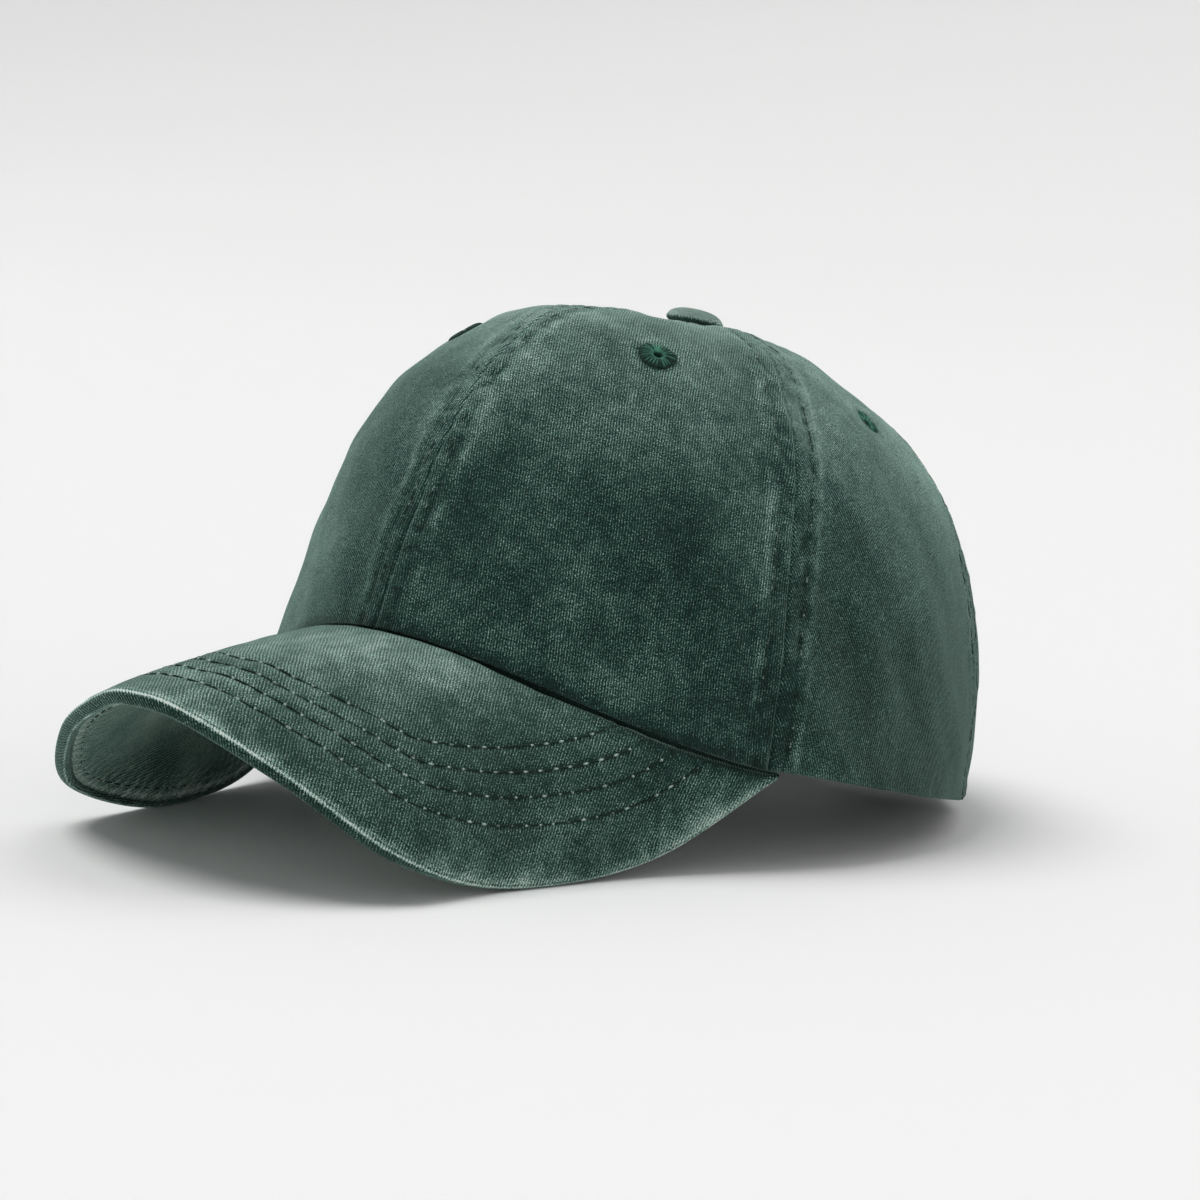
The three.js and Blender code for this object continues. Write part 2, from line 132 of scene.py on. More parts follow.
world = bpy.data.worlds.new("studio")
world.use_nodes = True
world.node_tree.nodes["Background"].inputs["Color"].default_value = to_linear("#f4f6f8")
world.node_tree.nodes["Background"].inputs["Strength"].default_value = 0.30
bpy.context.scene.world = world
bpy.context.scene.view_settings.view_transform = "Standard"


def add_sun(name, azimuth, elevation, energy, spread):
    """A broad soft light from an azimuth, counted as the camera's is, and an elevation, in degrees."""
    light = bpy.data.lights.new(name, "SUN")
    light.energy = energy
    light.angle = np.radians(spread)
    lamp = bpy.data.objects.new(name, light)
    lamp.rotation_euler = (np.radians(90 - elevation), 0, np.radians(azimuth))
    bpy.context.scene.collection.objects.link(lamp)


add_sun("key_light", -52, 68, 1.75, 35)
add_sun("back_light", 175, 52, 0.75, 60)
add_sun("front_light", 25, 10, 0.32, 60)


# The crown is six panels of washed cotton twill, sewn edge to edge with the seam allowances opened flat and
# topstitched on both sides, and turned in at the rim. All its shapes are given with the rim level, in
# millimetres, and then tipped back to where the cap rests.
HALF_WIDTH, FRONT_LENGTH, BACK_LENGTH, CROWN_HEIGHT, BUTTON_FORWARD = 80.0, 103.4, 96.5, 100.5, 2.4
RIM_PINCH, FRONT_ARCH, ARCH_REACH, BACK_RISE = 1.065, 15.3, np.radians(67), 2.5
TILT, LIFT, FORWARD = np.radians(10.53), 14.677, 37.338
CLOTH, OVER_TABLE = 1.4, 0.05
SIDE_SEAM = np.radians(62)
SLIT_TOP, SLIT_HALF, BACK_SCALE = np.radians(64), 17.0, 90.0


def signed_power(value, power):
    """A number's size to a power, with its sign kept."""
    return np.sign(value) * np.abs(value) ** power


def smooth(value, low, high):
    """0 below low, 1 above high, and a smooth step between."""
    share = np.clip((value - low) / (high - low), 0, 1)
    return share * share * (3 - 2 * share)


def rim(angle):
    """The crown's lower edge: an oval, lifted by a squared cosine at the front and a little behind."""
    c, s = np.cos(angle), np.sin(angle)
    length = np.where(c > 0, FRONT_LENGTH, BACK_LENGTH)
    from_front = np.abs(np.arctan2(s, c))
    arch = np.where(from_front < ARCH_REACH, FRONT_ARCH * np.cos(np.pi / 2 * from_front / ARCH_REACH) ** 2, 0)
    rise = np.where(c < 0, BACK_RISE * c * c, 0)
    across, along = HALF_WIDTH * signed_power(s, RIM_PINCH), -length * signed_power(c, RIM_PINCH)
    return np.stack([across, along, arch + rise], -1)


def crown(angle, climb):
    """The crown's outer face: from the rim to the button along superellipses, which lean in as they rise."""
    c = np.cos(angle)
    front, behind = np.clip(c, 0, 1) ** 1.5, np.clip(-c, 0, 1) ** 1.5
    side = 1 - front - behind
    power = 3.5 * front + 2.5 * side + 2.4 * behind
    lean = 0.165 * front + 0.05 * side + 0.04 * behind
    rise = np.sin(climb) ** (2 / power)
    out = np.cos(climb) ** (2 / power) * (1 - lean * rise)
    edge = rim(angle)
    return np.stack([
        edge[..., 0] * out,
        -BUTTON_FORWARD + (edge[..., 1] + BUTTON_FORWARD) * out,
        edge[..., 2] + (CROWN_HEIGHT - edge[..., 2]) * rise,
    ], -1)


def unit(vectors):
    """Vectors made one long."""
    return vectors / np.maximum(np.linalg.norm(vectors, axis=-1, keepdims=True), 1e-12)


def crown_normal(angle, climb):
    """The way out of the crown's face: along it crossed with up it, level at the rim."""
    low, high = np.maximum(climb - 1e-3, 0), np.minimum(climb + 1e-3, np.pi / 2 - 1e-3)
    along = crown(angle + 1e-3, climb) - crown(angle - 1e-3, climb)
    normal = unit(np.cross(along, crown(angle, high) - crown(angle, low)))
    normal[..., 2] *= smooth(climb, 0, 0.1)
    return unit(normal)


def reach_at(angle, climb):
    """The crown's distance from its upright axis, which turns a length round it into an angle."""
    p = crown(angle, climb)
    return np.hypot(p[..., 0], p[..., 1] + BUTTON_FORWARD)


def resting(points):
    """Points of the level cap in millimetres, tipped back, in metres. What would go below the table lies a
    hair above it."""
    x, y, z = points[..., 0], points[..., 1], points[..., 2]
    return 0.001 * np.stack([
        x, y * np.cos(TILT) + z * np.sin(TILT) + FORWARD,
        np.maximum(z * np.cos(TILT) - y * np.sin(TILT) + LIFT, OVER_TABLE),
    ], -1)


def waver(points, seed, wavelength, count=9):
    """A smooth unevenness between about -1 and 1: sine waves of many directions and like wavelengths."""
    rng = np.random.default_rng(seed)
    ways = unit(rng.normal(size=(count, 3))) * (2 * np.pi / wavelength * rng.uniform(0.6, 1.5, (count, 1)))
    return np.sin(points @ ways.T + rng.uniform(0, 2 * np.pi, count)).sum(-1) / np.sqrt(count / 2) / 1.5


def bump_at(value, middle, width):
    """A soft bump of height 1 about a middle."""
    return np.exp(-((value - middle) / width) ** 2)


def swell(points, angle, climb):
    """How far the soft cloth stands off its plan: slow and quick unevenness, less a sag on each side behind
    the button and a smaller one over each temple."""
    around = np.abs(np.arctan2(np.sin(angle), np.cos(angle)))
    behind = bump_at(around, 2.1, 0.5) * bump_at(climb, 1.18, 0.2)
    before = bump_at(around, 0.96, 0.22) * bump_at(climb, 0.86, 0.2)
    return 0.7 * waver(points, 11, 55) + 0.25 * waver(points, 12, 17) - 3.0 * behind - 1.7 * before


def smooth_through(knots, places):
    """A smooth curve through evenly numbered knots, each stretch a cubic led by its neighbours."""
    padded = np.vstack([2 * knots[:1] - knots[1:2], knots, 2 * knots[-1:] - knots[-2:-1]])
    k = np.clip(np.floor(places).astype(int), 0, len(knots) - 2)
    t = (places - k)[:, None]
    a, b, c, d = (padded[k + i] for i in range(4))
    bend, twist = 2 * a - 5 * b + 4 * c - d, 3 * b - a - 3 * c + d
    return 0.5 * (2 * b + (c - a) * t + bend * t ** 2 + twist * t ** 3)


SLIT_OUTLINE = np.array([
    # share of the slit's climb, share of its half width
    [0.0, 0.20], [0.2, 0.24], [0.42, 0.60], [0.62, 0.96], [0.8, 0.94], [0.94, 0.60], [1.0, 0.0],
])
half = SLIT_OUTLINE[:, ::-1] * [SLIT_HALF, BACK_SCALE * SLIT_TOP]
whole = np.vstack([half, half[-2::-1] * [-1, 1]])
slit_edge = smooth_through(whole, np.linspace(0, len(whole) - 1, 361))
slit_left = slit_edge[:181]


def slit_half(climb):
    """Half the slit's width at a climb, as a length."""
    return np.interp(climb * BACK_SCALE, slit_left[:, 1], slit_left[:, 0], right=0.0)


def sheet_faces(rows, columns, keep=None):
    """Faces of a closed sheet: the outer grid, the inner grid turned round, and a wall wherever the sheet
    ends. Seen from outside, columns run to the right and rows run up."""
    keep = np.ones((rows - 1, columns - 1), bool) if keep is None else keep
    i, j = np.nonzero(keep)
    at = lambda a, b, layer=0: (layer * rows + a) * columns + b
    out = np.stack([at(i, j), at(i, j + 1), at(i + 1, j + 1), at(i + 1, j)], 1)
    parts = [out, out[:, ::-1] + rows * columns]
    ring = np.pad(keep, 1)
    for step, first, last in (
        ((0, -1), (1, 0), (0, 0)), ((0, 1), (0, 1), (1, 1)),
        ((-1, 0), (0, 0), (0, 1)), ((1, 0), (1, 1), (1, 0)),
    ):
        ends = keep & ~ring[1 + step[0]:rows + step[0], 1 + step[1]:columns + step[1]]
        i, j = np.nonzero(ends)
        a, b = (i + first[0], j + first[1]), (i + last[0], j + last[1])
        parts.append(np.stack([at(*b), at(*a), at(*a, 1), at(*b, 1)], 1))
    return np.vstack(parts)


def make_sheet(name, outer, inner, across, along, wear_and_painted_light, material, keep=None, grain=0.0):
    """A closed cloth sheet between two grids, with its cloth's own measures in millimetres, turned to its
    grain, as its UV map, and its wear with its painted light and shade, from -1 in a painted-shade crease to
    1 on a rubbed edge, as an attribute."""
    rows, columns = outer.shape[:2]
    faces = sheet_faces(rows, columns, keep)
    used, faces = np.unique(faces, return_inverse=True)
    faces = faces.reshape(-1, 4)
    points = np.concatenate([outer.reshape(-1, 3), inner.reshape(-1, 3)])[used]
    made = make_object(name, resting(points), faces, material)
    flat = np.stack([
        across * np.cos(grain) + along * np.sin(grain), along * np.cos(grain) - across * np.sin(grain),
    ], -1).reshape(-1, 2)[used % (rows * columns)]
    layer = made.data.uv_layers.new(name="cloth_mm")
    layer.data.foreach_set("uv", flat[faces.ravel()].astype(np.float32).ravel())
    wear_and_light_channel = made.data.attributes.new("wear_and_painted_light", "FLOAT", "POINT")
    wear_and_light_channel.data.foreach_set("value", np.tile(wear_and_painted_light.ravel(), 2)[used].astype(np.float32))
    made.data.set_sharp_from_angle(angle=np.radians(50))
    return made


def washed_twill(name, deep, middle, faded, wale=0.64):
    """Garment-dyed cotton twill after a stone wash: fine ridges broken into short floats, with colour rubbed
    off the high threads and edges down to the yarn's undyed core, soft clouds of dye, the painted light and
    shade that its wear attribute carries, a dry matt face and a short pale fuzz that catches the light edge
    on. The real ridges are 0.5 mm apart, and are drawn a little coarser so that they show."""
    material, tree = new_material(name)
    cloth = add_node(tree, "ShaderNodeUVMap", {"uv_map": "cloth_mm"}).outputs[0]
    place = add_node(tree, "ShaderNodeTexCoord").outputs["Object"]
    wear_and_light_channel = add_node(tree, "ShaderNodeAttribute", {"attribute_name": "wear_and_painted_light"}).outputs["Fac"]

    # Yarns are uneven: the ridges wander by a part of their spacing.
    wander = add_node(tree, "ShaderNodeTexNoise", {"Scale": 0.2, "Detail": 2.0}, {"Vector": cloth})
    moved = add_node(tree, "ShaderNodeMath", {"operation": "MULTIPLY", 1: 6.0}, {0: wander.outputs["Fac"]})
    axes = add_node(tree, "ShaderNodeSeparateXYZ", links={0: cloth})
    phase = add_node(tree, "ShaderNodeMath", {"operation": "MULTIPLY_ADD", 1: 2 * np.pi / wale},
                     {0: axes.outputs["X"], 2: moved.outputs[0]})
    ridges = add_node(tree, "ShaderNodeMath", {"operation": "SINE"}, {0: phase.outputs[0]}).outputs[0]
    # Along each ridge the floats are short dashes, lighter or darker one by one.
    squeezed = add_node(tree, "ShaderNodeMapping", {"Scale": (1 / 0.27, 1 / 0.38, 1)}, {"Vector": cloth})
    floats = add_node(tree, "ShaderNodeTexNoise", {"Scale": 1.0, "Detail": 1.0, "Roughness": 0.6},
                      {"Vector": squeezed.outputs[0]}).outputs["Fac"]
    clouds = add_node(tree, "ShaderNodeTexNoise", {"Scale": 38.0, "Detail": 4.0, "Roughness": 0.6},
                      {"Vector": place}).outputs["Fac"]
    patches = add_node(tree, "ShaderNodeTexNoise", {"Scale": 300.0, "Detail": 3.0, "Roughness": 0.65},
                       {"Vector": place}).outputs["Fac"]

    # The rubbing, with the painted light and shade that the wear attribute brings, is a sum of shares. The
    # noises lie about a half, which the first term takes off.
    shares = ((clouds, 0.65), (patches, 0.48), (floats, 2.1), (ridges, 0.2), (wear_and_light_channel, 0.62))
    total = 0.25 - 0.5 * sum(share for _, share in shares[:3])
    rub_and_painted_light = add_node(tree, "ShaderNodeMath", {"operation": "MULTIPLY_ADD", 1: shares[0][1], 2: total},
                      {0: clouds})
    for source, share in shares[1:]:
        rub_and_painted_light = add_node(tree, "ShaderNodeMath", {"operation": "MULTIPLY_ADD", 1: share},
                          {0: source, 2: rub_and_painted_light.outputs[0]})
    colours = add_node(tree, "ShaderNodeValToRGB", links={"Fac": rub_and_painted_light.outputs[0]})
    ramp = colours.color_ramp
    ramp.elements[0].color = to_linear(deep)
    ramp.elements[1].color = to_linear("#d3ddd8")
    ramp.elements.new(0.36).color = to_linear(middle)
    ramp.elements.new(0.84).color = to_linear(faded)

    low = add_node(tree, "ShaderNodeMath", {"operation": "MULTIPLY", 1: 0.4}, {0: ridges})
    height = add_node(tree, "ShaderNodeMath", {"operation": "MULTIPLY_ADD", 1: 1.6},
                      {0: floats, 2: low.outputs[0]})
    fine = add_node(tree, "ShaderNodeBump", {"Strength": 0.85, "Distance": 0.00018},
                    {"Height": height.outputs[0]})
    crumple = add_node(tree, "ShaderNodeTexNoise", {"Scale": 0.14, "Detail": 2.0, "Roughness": 0.5},
                       {"Vector": cloth})
    soft = add_node(tree, "ShaderNodeBump", {"Strength": 0.45, "Distance": 0.0008},
                    {"Height": crumple.outputs["Fac"], "Normal": fine.outputs[0]})
    surface = add_node(tree, "ShaderNodeBsdfPrincipled", {
        "Roughness": 0.9, "Specular IOR Level": 0.2, "IOR": 1.5,
        "Sheen Weight": 0.95, "Sheen Roughness": 0.32, "Sheen Tint": to_linear("#a3c4b8"),
    }, {"Base Color": colours.outputs[0], "Normal": soft.outputs[0]})
    add_node(tree, "ShaderNodeOutputMaterial", links={"Surface": surface.outputs[0]})
    return material


crown_twill = washed_twill("washed_green_twill", "#061c18", "#1f443b", "#90b0a5")

# Columns stand closest by the seams, where the relief is: these are about their distances from a seam.
NEAR = np.array([
    0, 0.2, 0.45, 0.75, 1.1, 1.5, 1.95, 2.4, 2.85, 3.2, 3.5, 3.8, 4.1, 4.4, 4.8, 5.3, 5.9, 6.6, 7.3, 8.0,
    8.5, 9.0, 9.5, 10.1, 10.9, 12.0, 13.3,
])
APEX, PANEL_WIDTH = 4.0, 80
EYELETS = {"front": np.radians([33.3, 51.0]), "side": np.radians([88.0, 52.3]), "back": None}
EYELET_SINK, EYELET_HOLE = 0.45, 2.4
# Distances from a seam: its topstitching, where its allowance thins out, and the line rubbed pale over that.
SEAM_ROW, ALLOWANCE, PALE_LINE = 3.8, (6.0, 9.0), 7.0
PUCKER_LENGTH = 8.8


def dress_panel(name, first, last, eyelet, slit_side, grain):
    """A crown panel between two seams. Its face sinks into each seam and each topstitch row, stands over the
    seam allowances, and puckers between the stitches. The sun has faded its top, which is also painted paler
    as painted light from above. The wearer's right is painted paler as painted light from the key light's
    side.
    Painted shade darkens its sides towards the rim, its topstitch grooves and its hem over the brim."""
    shares = NEAR / PANEL_WIDTH
    columns = np.concatenate([shares, np.linspace(shares[-1], 1 - shares[-1], 36)[1:-1], 1 - shares[::-1]])
    middle = (first + last) / 2
    tops = np.linspace(0, np.pi / 2 - 0.01, 400)
    top = np.interp(-APEX, -reach_at(middle, tops), tops)
    climbs = np.concatenate([[0, 0.0004, 0.0012, 0.0025], np.linspace(0.0045, top, 131)])
    rough = first + (last - first) * columns[None, :] + 0 * climbs[:, None]
    climb = climbs[:, None] + 0 * rough
    reach = reach_at(rough, climb)
    start = first + (0.01 + (slit_half(climb) if slit_side < 0 else 0)) / reach
    end = last - (0.01 + (slit_half(climb) if slit_side > 0 else 0)) / reach
    angle = start + (end - start) * columns[None, :]
    face = crown(angle, climb)
    normal = crown_normal(angle, climb)
    rows_up = np.linalg.norm(np.diff(face, axis=0), axis=-1)
    along = np.vstack([np.zeros((1, face.shape[1])), np.cumsum(rows_up, 0)])
    steps = np.linalg.norm(np.diff(face, axis=1), axis=-1)
    across = np.hstack([np.zeros((face.shape[0], 1)), np.cumsum(steps, 1)])
    from_first, from_last = across.copy(), across[:, -1:] - across
    across = across - across[:, -1:] / 2
    open_edge = slit_half(climb) > 0
    relief = swell(face, angle, climb)
    around = np.abs(np.arctan2(np.sin(angle), np.cos(angle)))
    # Painted light: the top is painted paler, as sun fade and as painted light from above, and the wearer's
    # right side, which faces the key light, is painted paler as well.
    sun_fade_and_painted_top_light = smooth(face[..., 2] + 9 * waver(face, 15, 45), 50, 106)
    wear_and_painted_light = 0.06 * waver(face, 13, 30) + 0.66 * sun_fade_and_painted_top_light - 0.10 + 0.16 * smooth(-face[..., 0], 2, 40)
    # Painted shade: the side panels are painted darker towards the rim.
    wear_and_painted_light -= 0.30 * smooth(around, 1.1, 1.5) * (1 - smooth(face[..., 2], 10, 60))
    ruck = waver(face, 14, 9)
    for number, (distance, is_slit) in enumerate(((from_first, slit_side < 0), (from_last, slit_side > 0))):
        seam = np.where(open_edge, 0.0, 1.0) if is_slit else 1.0
        behind = np.cos((first, last)[number]) < 0
        pucker = np.sin(2 * np.pi * along / PUCKER_LENGTH + 2.6 * ruck + 2.6 * number)
        drawn = 0.8 + 0.5 * ruck
        tape = smooth(distance, 0, 0.8) * (1 - smooth(distance, *ALLOWANCE))
        between = 1 - smooth(distance, SEAM_ROW + 0.2, SEAM_ROW + 1.0)
        pale_line = bump_at(distance + 0.7 * ruck, PALE_LINE, 1.0)
        relief = relief + seam * (
            0.26 * tape + 0.13 * pucker * tape - 0.10 * bump_at(distance, 0, 0.35)
            - drawn * 0.17 * bump_at(distance, SEAM_ROW, 0.65)
        )
        # Painted shade: the cloth is painted darker along each topstitch groove. It is rubbed paler at the
        # seam's fold, on the pucker crests and along the pale line, and is darker in the pucker hollows
        # between seam and row.
        wear_and_painted_light = wear_and_painted_light + seam * (
            0.06 * bump_at(distance, 0.7, 0.4) * (1 + ruck)
            - (0.02 + 0.13 * np.clip(-pucker, 0, 1)) * between
            - drawn * 0.26 * bump_at(distance, SEAM_ROW, 0.4) + 0.07 * pucker * tape
            + (0.24 + 0.06 * behind + 0.2 * ruck) * (1 - 0.6 * sun_fade_and_painted_top_light) * pale_line
        )
    # The hem is rubbed at its fold. Over the brim it is pressed down on it and a little outwards, and is
    # painted darker there as painted shade in the crease.
    over_brim = 1 - smooth(around, np.radians(60), np.radians(66))
    wear_and_painted_light += (1 - over_brim) * 0.16 * bump_at(along, 0.5, 0.8) - over_brim * 0.5 * bump_at(along, 0, 1.8)
    relief += (0.85 * over_brim - 0.5) * bump_at(along, 0, 0.8)
    face[..., 2] -= 0.5 * over_brim * bump_at(along, 0, 1.6)
    keep = None
    if eyelet is not None:
        apart = np.linalg.norm(face - crown(*eyelet), axis=-1)
        relief = relief * smooth(apart, 0.5, 4.0) - EYELET_SINK * bump_at(apart, 0, 7.0)
        # The ring round the eyelet's dimple is rubbed paler, and the cloth is painted darker where the
        # eyelet's edge meets it, as painted shade.
        wear_and_painted_light += 0.14 * bump_at(apart, 6.2, 1.1) * (0.8 + 0.6 * ruck) - 0.12 * bump_at(apart, 4.4, 0.8)
        middles = (apart[1:, 1:] + apart[:-1, :-1] + apart[1:, :-1] + apart[:-1, 1:]) / 4
        keep = middles > EYELET_HOLE
    gather = 1 - smooth(np.linalg.norm(face[..., :2] - [0, -BUTTON_FORWARD], axis=-1), 6, 16)
    relief *= 1 - 0.8 * gather
    wear_and_painted_light += 0.12 * gather * (0.3 + ruck)
    outer, inner = face + normal * relief[..., None], face - normal * CLOTH
    panel = make_sheet(name + "_twill", outer, inner, across, along, wear_and_painted_light, crown_twill, keep, grain)
    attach(panel, "root")
    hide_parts(name)


for hand, sign in (("left", 1), ("right", -1)):
    for place, first, last, slit_side, grain in (
        ("front", 0, SIDE_SEAM, 0, 6),
        ("side", SIDE_SEAM, np.pi - SIDE_SEAM, 0, 28),
        ("back", np.pi - SIDE_SEAM, np.pi, 1, 14),
    ):
        edges = (first, last) if sign > 0 else (-last, -first)
        eyelet = None if EYELETS[place] is None else EYELETS[place] * [sign, 1]
        dress_panel(f"{place}_panel_{hand}", *edges, eyelet, sign * slit_side, np.radians(grain))


# The topstitching is dyed polyester thread of 0.3 to 0.4 mm, in lock stitches of about 4 mm. At each stitch's
# ends, where the needle went through, the wash has raised a pale lint.
def spun_thread(name, dark, pale):
    """Spun polyester sewing thread: tight and twisted, almost matt, and pale where rubbed, where linty and
    where a highlight is painted on.
    """
    material, tree = new_material(name)
    wear_and_light_channel = add_node(tree, "ShaderNodeAttribute", {"attribute_name": "wear_and_painted_light"}).outputs["Fac"]
    place = add_node(tree, "ShaderNodeTexCoord").outputs["Object"]
    twist = add_node(tree, "ShaderNodeTexNoise", {"Scale": 2600.0, "Detail": 2.0}, {"Vector": place})
    amount = add_node(tree, "ShaderNodeMath", {"operation": "MULTIPLY_ADD", 1: 0.35},
                      {0: twist.outputs["Fac"], 2: wear_and_light_channel})
    colours = add_node(tree, "ShaderNodeValToRGB", links={"Fac": amount.outputs[0]})
    colours.color_ramp.elements[0].color = to_linear(dark)
    colours.color_ramp.elements[0].position = 0.3
    colours.color_ramp.elements[1].color = to_linear(pale)
    bump = add_node(tree, "ShaderNodeBump", {"Strength": 0.6, "Distance": 0.0001},
                    {"Height": twist.outputs["Fac"]})
    surface = add_node(tree, "ShaderNodeBsdfPrincipled", {
        "Roughness": 0.7, "Specular IOR Level": 0.2, "Sheen Weight": 0.05, "Sheen Tint": to_linear("#a9c4ba"),
    }, {"Base Color": colours.outputs[0], "Normal": bump.outputs[0]})
    add_node(tree, "ShaderNodeOutputMaterial", links={"Surface": surface.outputs[0]})
    return material


seam_thread = spun_thread("green_sewing_thread", "#08201a", "#b4cbc1")


def stitch_row(path, normals, pitch=4.1, thread=0.36, filled=0.96, rub_and_painted_light=0.0, lint=0.9):
    """Stitches along a path on the cloth: each a tube of seven rings of six points, half sunk in the cloth,
    and fluffed up with lint at its ends by more or less. Returns points, faces and wear."""
    reach = np.concatenate([[0], np.cumsum(np.linalg.norm(np.diff(path, axis=0), axis=1))])
    count = int(reach[-1] / pitch)
    if count < 1:
        return np.zeros((0, 3)), np.zeros((0, 4), int), np.zeros(0)
    share = np.linspace(-0.5, 0.5, 7)
    at = ((np.arange(count) + 0.5)[:, None] * (reach[-1] / count) + share * filled * pitch).ravel()
    pick = lambda values: np.stack([np.interp(at, reach, values[:, k]) for k in range(3)], 1)
    centre, normal = pick(path), unit(pick(normals))
    ahead = unit(np.stack([np.interp(at + 0.2, reach, path[:, k]) - np.interp(at - 0.2, reach, path[:, k])
                           for k in range(3)], 1))
    sideways = np.cross(ahead, normal)
    ends = np.abs(2 * share) ** 4
    fluff = np.clip(np.random.default_rng(count).uniform(-0.1, 1.5, (count, 7)), 0, 1)
    fluff[:, :4], fluff[:, 4:] = fluff[:, :1], fluff[:, 6:]
    fluff = (lint * fluff * ends).ravel()
    centre = centre + normal * (thread * (0.1 + 0.15 * fluff))[:, None]
    turn = np.arange(6) * np.pi / 3
    girth = thread / 2 * (1 + 0.9 * fluff - 0.25 * np.tile(ends, count))[:, None]
    points = centre[:, None] + girth[:, None] * (
        np.cos(turn)[None, :, None] * sideways[:, None] + np.sin(turn)[None, :, None] * normal[:, None]
    )
    stitch, ring, spoke = np.meshgrid(np.arange(count), np.arange(6), np.arange(6), indexing="ij")
    base = (stitch * 7 + ring) * 6
    beside = (spoke + 1) % 6
    faces = np.stack([base + spoke, base + 6 + spoke, base + 6 + beside, base + beside], -1).reshape(-1, 4)
    caps = []
    for ring_at, order in ((0, [0, 1, 2, 3]), (6, [3, 2, 1, 0])):
        first = (np.arange(count) * 7 + ring_at)[:, None] * 6
        caps += [first + np.array([0, 1, 2, 3])[order], first + np.array([3, 4, 5, 0])[order]]
    return points.reshape(-1, 3), np.vstack([faces, *caps]), np.repeat(np.maximum(fluff, rub_and_painted_light), 6)


def make_stitches(name, rows, material):
    """One object from rows of stitches."""
    points, faces, wear_and_painted_light, start = [], [], [], 0
    for p, f, w in rows:
        points.append(p)
        faces.append(f + start)
        wear_and_painted_light.append(w)
        start += len(p)
    made = make_object(name, resting(np.vstack(points)), np.vstack(faces), material)
    wear_and_light_channel = made.data.attributes.new("wear_and_painted_light", "FLOAT", "POINT")
    wear_and_light_channel.data.foreach_set("value", np.concatenate(wear_and_painted_light).astype(np.float32))
    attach(made, "root")
    return made


def crown_row(angle, climb, height):
    """A stitch row at a height over the crown's face."""
    normals = crown_normal(angle, climb)
    path = crown(angle, climb)
    lift = swell(path, angle, climb) + height
    return stitch_row(path + normals * lift[:, None], normals, thread=0.32, rub_and_painted_light=0.1, lint=0.55)


rows = []
for seam in (0, SIDE_SEAM, np.pi - SIDE_SEAM, np.pi, SIDE_SEAM - np.pi, -SIDE_SEAM):
    for side in (-1, 1):
        climb = np.linspace(SLIT_TOP + 0.07 if seam == np.pi else 0.004, 1.46, 400)
        angle = seam + side * SEAM_ROW / reach_at(seam, climb)
        rows.append(crown_row(angle, climb, 0.1))
make_stitches("crown_topstitching", rows, seam_thread)


# The eyelets are worked by machine: satin stitches of thread, packed side by side round a punched hole, so
# they stand up as a low ring with fine spokes and a ragged edge. The thread kept more dye than the cloth.
EYELET_OUT, EYELET_IN, EYELET_RISE, EYELET_STITCHES, EYELET_SPOKES = 4.6, 0.9, 0.75, 28, 224
eyelet_thread = spun_thread("deep_green_eyelet_thread", "#06291f", "#5aa088")


def make_eyelet(name, angle, climb):
    """A ring about the crown's normal: a flat arch from the outer edge to the hole and down through it, with
    one ridge for each stitch, and each stitch a little longer or shorter than the next."""
    normal = crown_normal(angle, climb)
    centre = crown(angle, climb) - EYELET_SINK * normal
    right_way = unit(np.cross([0, 0, 1], normal))
    up_way = np.cross(normal, right_way)
    profile = np.array([
        # share of the way from the hole to the outer edge, height
        [0.35, -1.9], [0.0, -1.5], [0.0, -0.2], [0.05, 0.4], [0.16, 0.8], [0.32, 1.0], [0.55, 0.95],
        [0.78, 0.72], [0.92, 0.36], [1.0, 0.0], [0.97, -0.25], [0.6, -0.35], [0.35, -1.9],
    ])
    fine = smooth_through(profile, np.linspace(0, len(profile) - 1, 40))
    turn = np.linspace(0, 2 * np.pi, EYELET_SPOKES + 1)[:-1]
    stitch = np.abs(np.sin(turn * EYELET_STITCHES / 2)) ** 0.6
    rng = np.random.default_rng(int(abs(angle) * 100))
    number = (turn / (2 * np.pi) * EYELET_STITCHES).astype(int)
    longer = rng.uniform(-0.08, 0.05, EYELET_STITCHES)[number] + 0.04 * np.sin(turn * 3 + angle)
    lit = rng.uniform(0.2, 1.0, EYELET_STITCHES)[number]
    share = fine[:, :1]
    radius = EYELET_IN + (EYELET_OUT - EYELET_IN) * share * (
        1 + smooth(share, 0.4, 0.95) * (longer - 0.07 * (1 - stitch))
    )
    high = fine[:, 1:] * EYELET_RISE * np.where(fine[:, 1:] > 0, 0.5 + 0.5 * stitch, 1.0)
    points = centre + radius[..., None] * (
        np.cos(turn)[None, :, None] * right_way + np.sin(turn)[None, :, None] * up_way
    ) + high[..., None] * normal
    # The profile's last ring is its first again.
    faces = turned_faces(len(fine), EYELET_SPOKES) % ((len(fine) - 1) * EYELET_SPOKES)
    made = make_object(name + "_thread", resting(points[:-1]), faces, eyelet_thread)
    wear_and_light_channel = made.data.attributes.new("wear_and_painted_light", "FLOAT", "POINT")
    # Painted highlight: the thread is painted paler on the crests of its stitches, more on the upper half,
    # and in a ring near the hole.
    upper = smooth(np.sin(turn), -0.5, 0.9)
    values = np.clip(fine[:, 1:], 0, 1) * stitch ** 2 * lit * (0.5 + 0.4 * upper)
    values = values + 0.3 * bump_at(share, 0.14, 0.12)
    wear_and_light_channel.data.foreach_set("value", values[:-1].astype(np.float32).ravel())
    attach(made, "root")
    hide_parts(name)


for hand, sign in (("left", 1), ("right", -1)):
    for place in ("front", "side"):
        make_eyelet(f"{place}_eyelet_{hand}", *(EYELETS[place] * [sign, 1]))


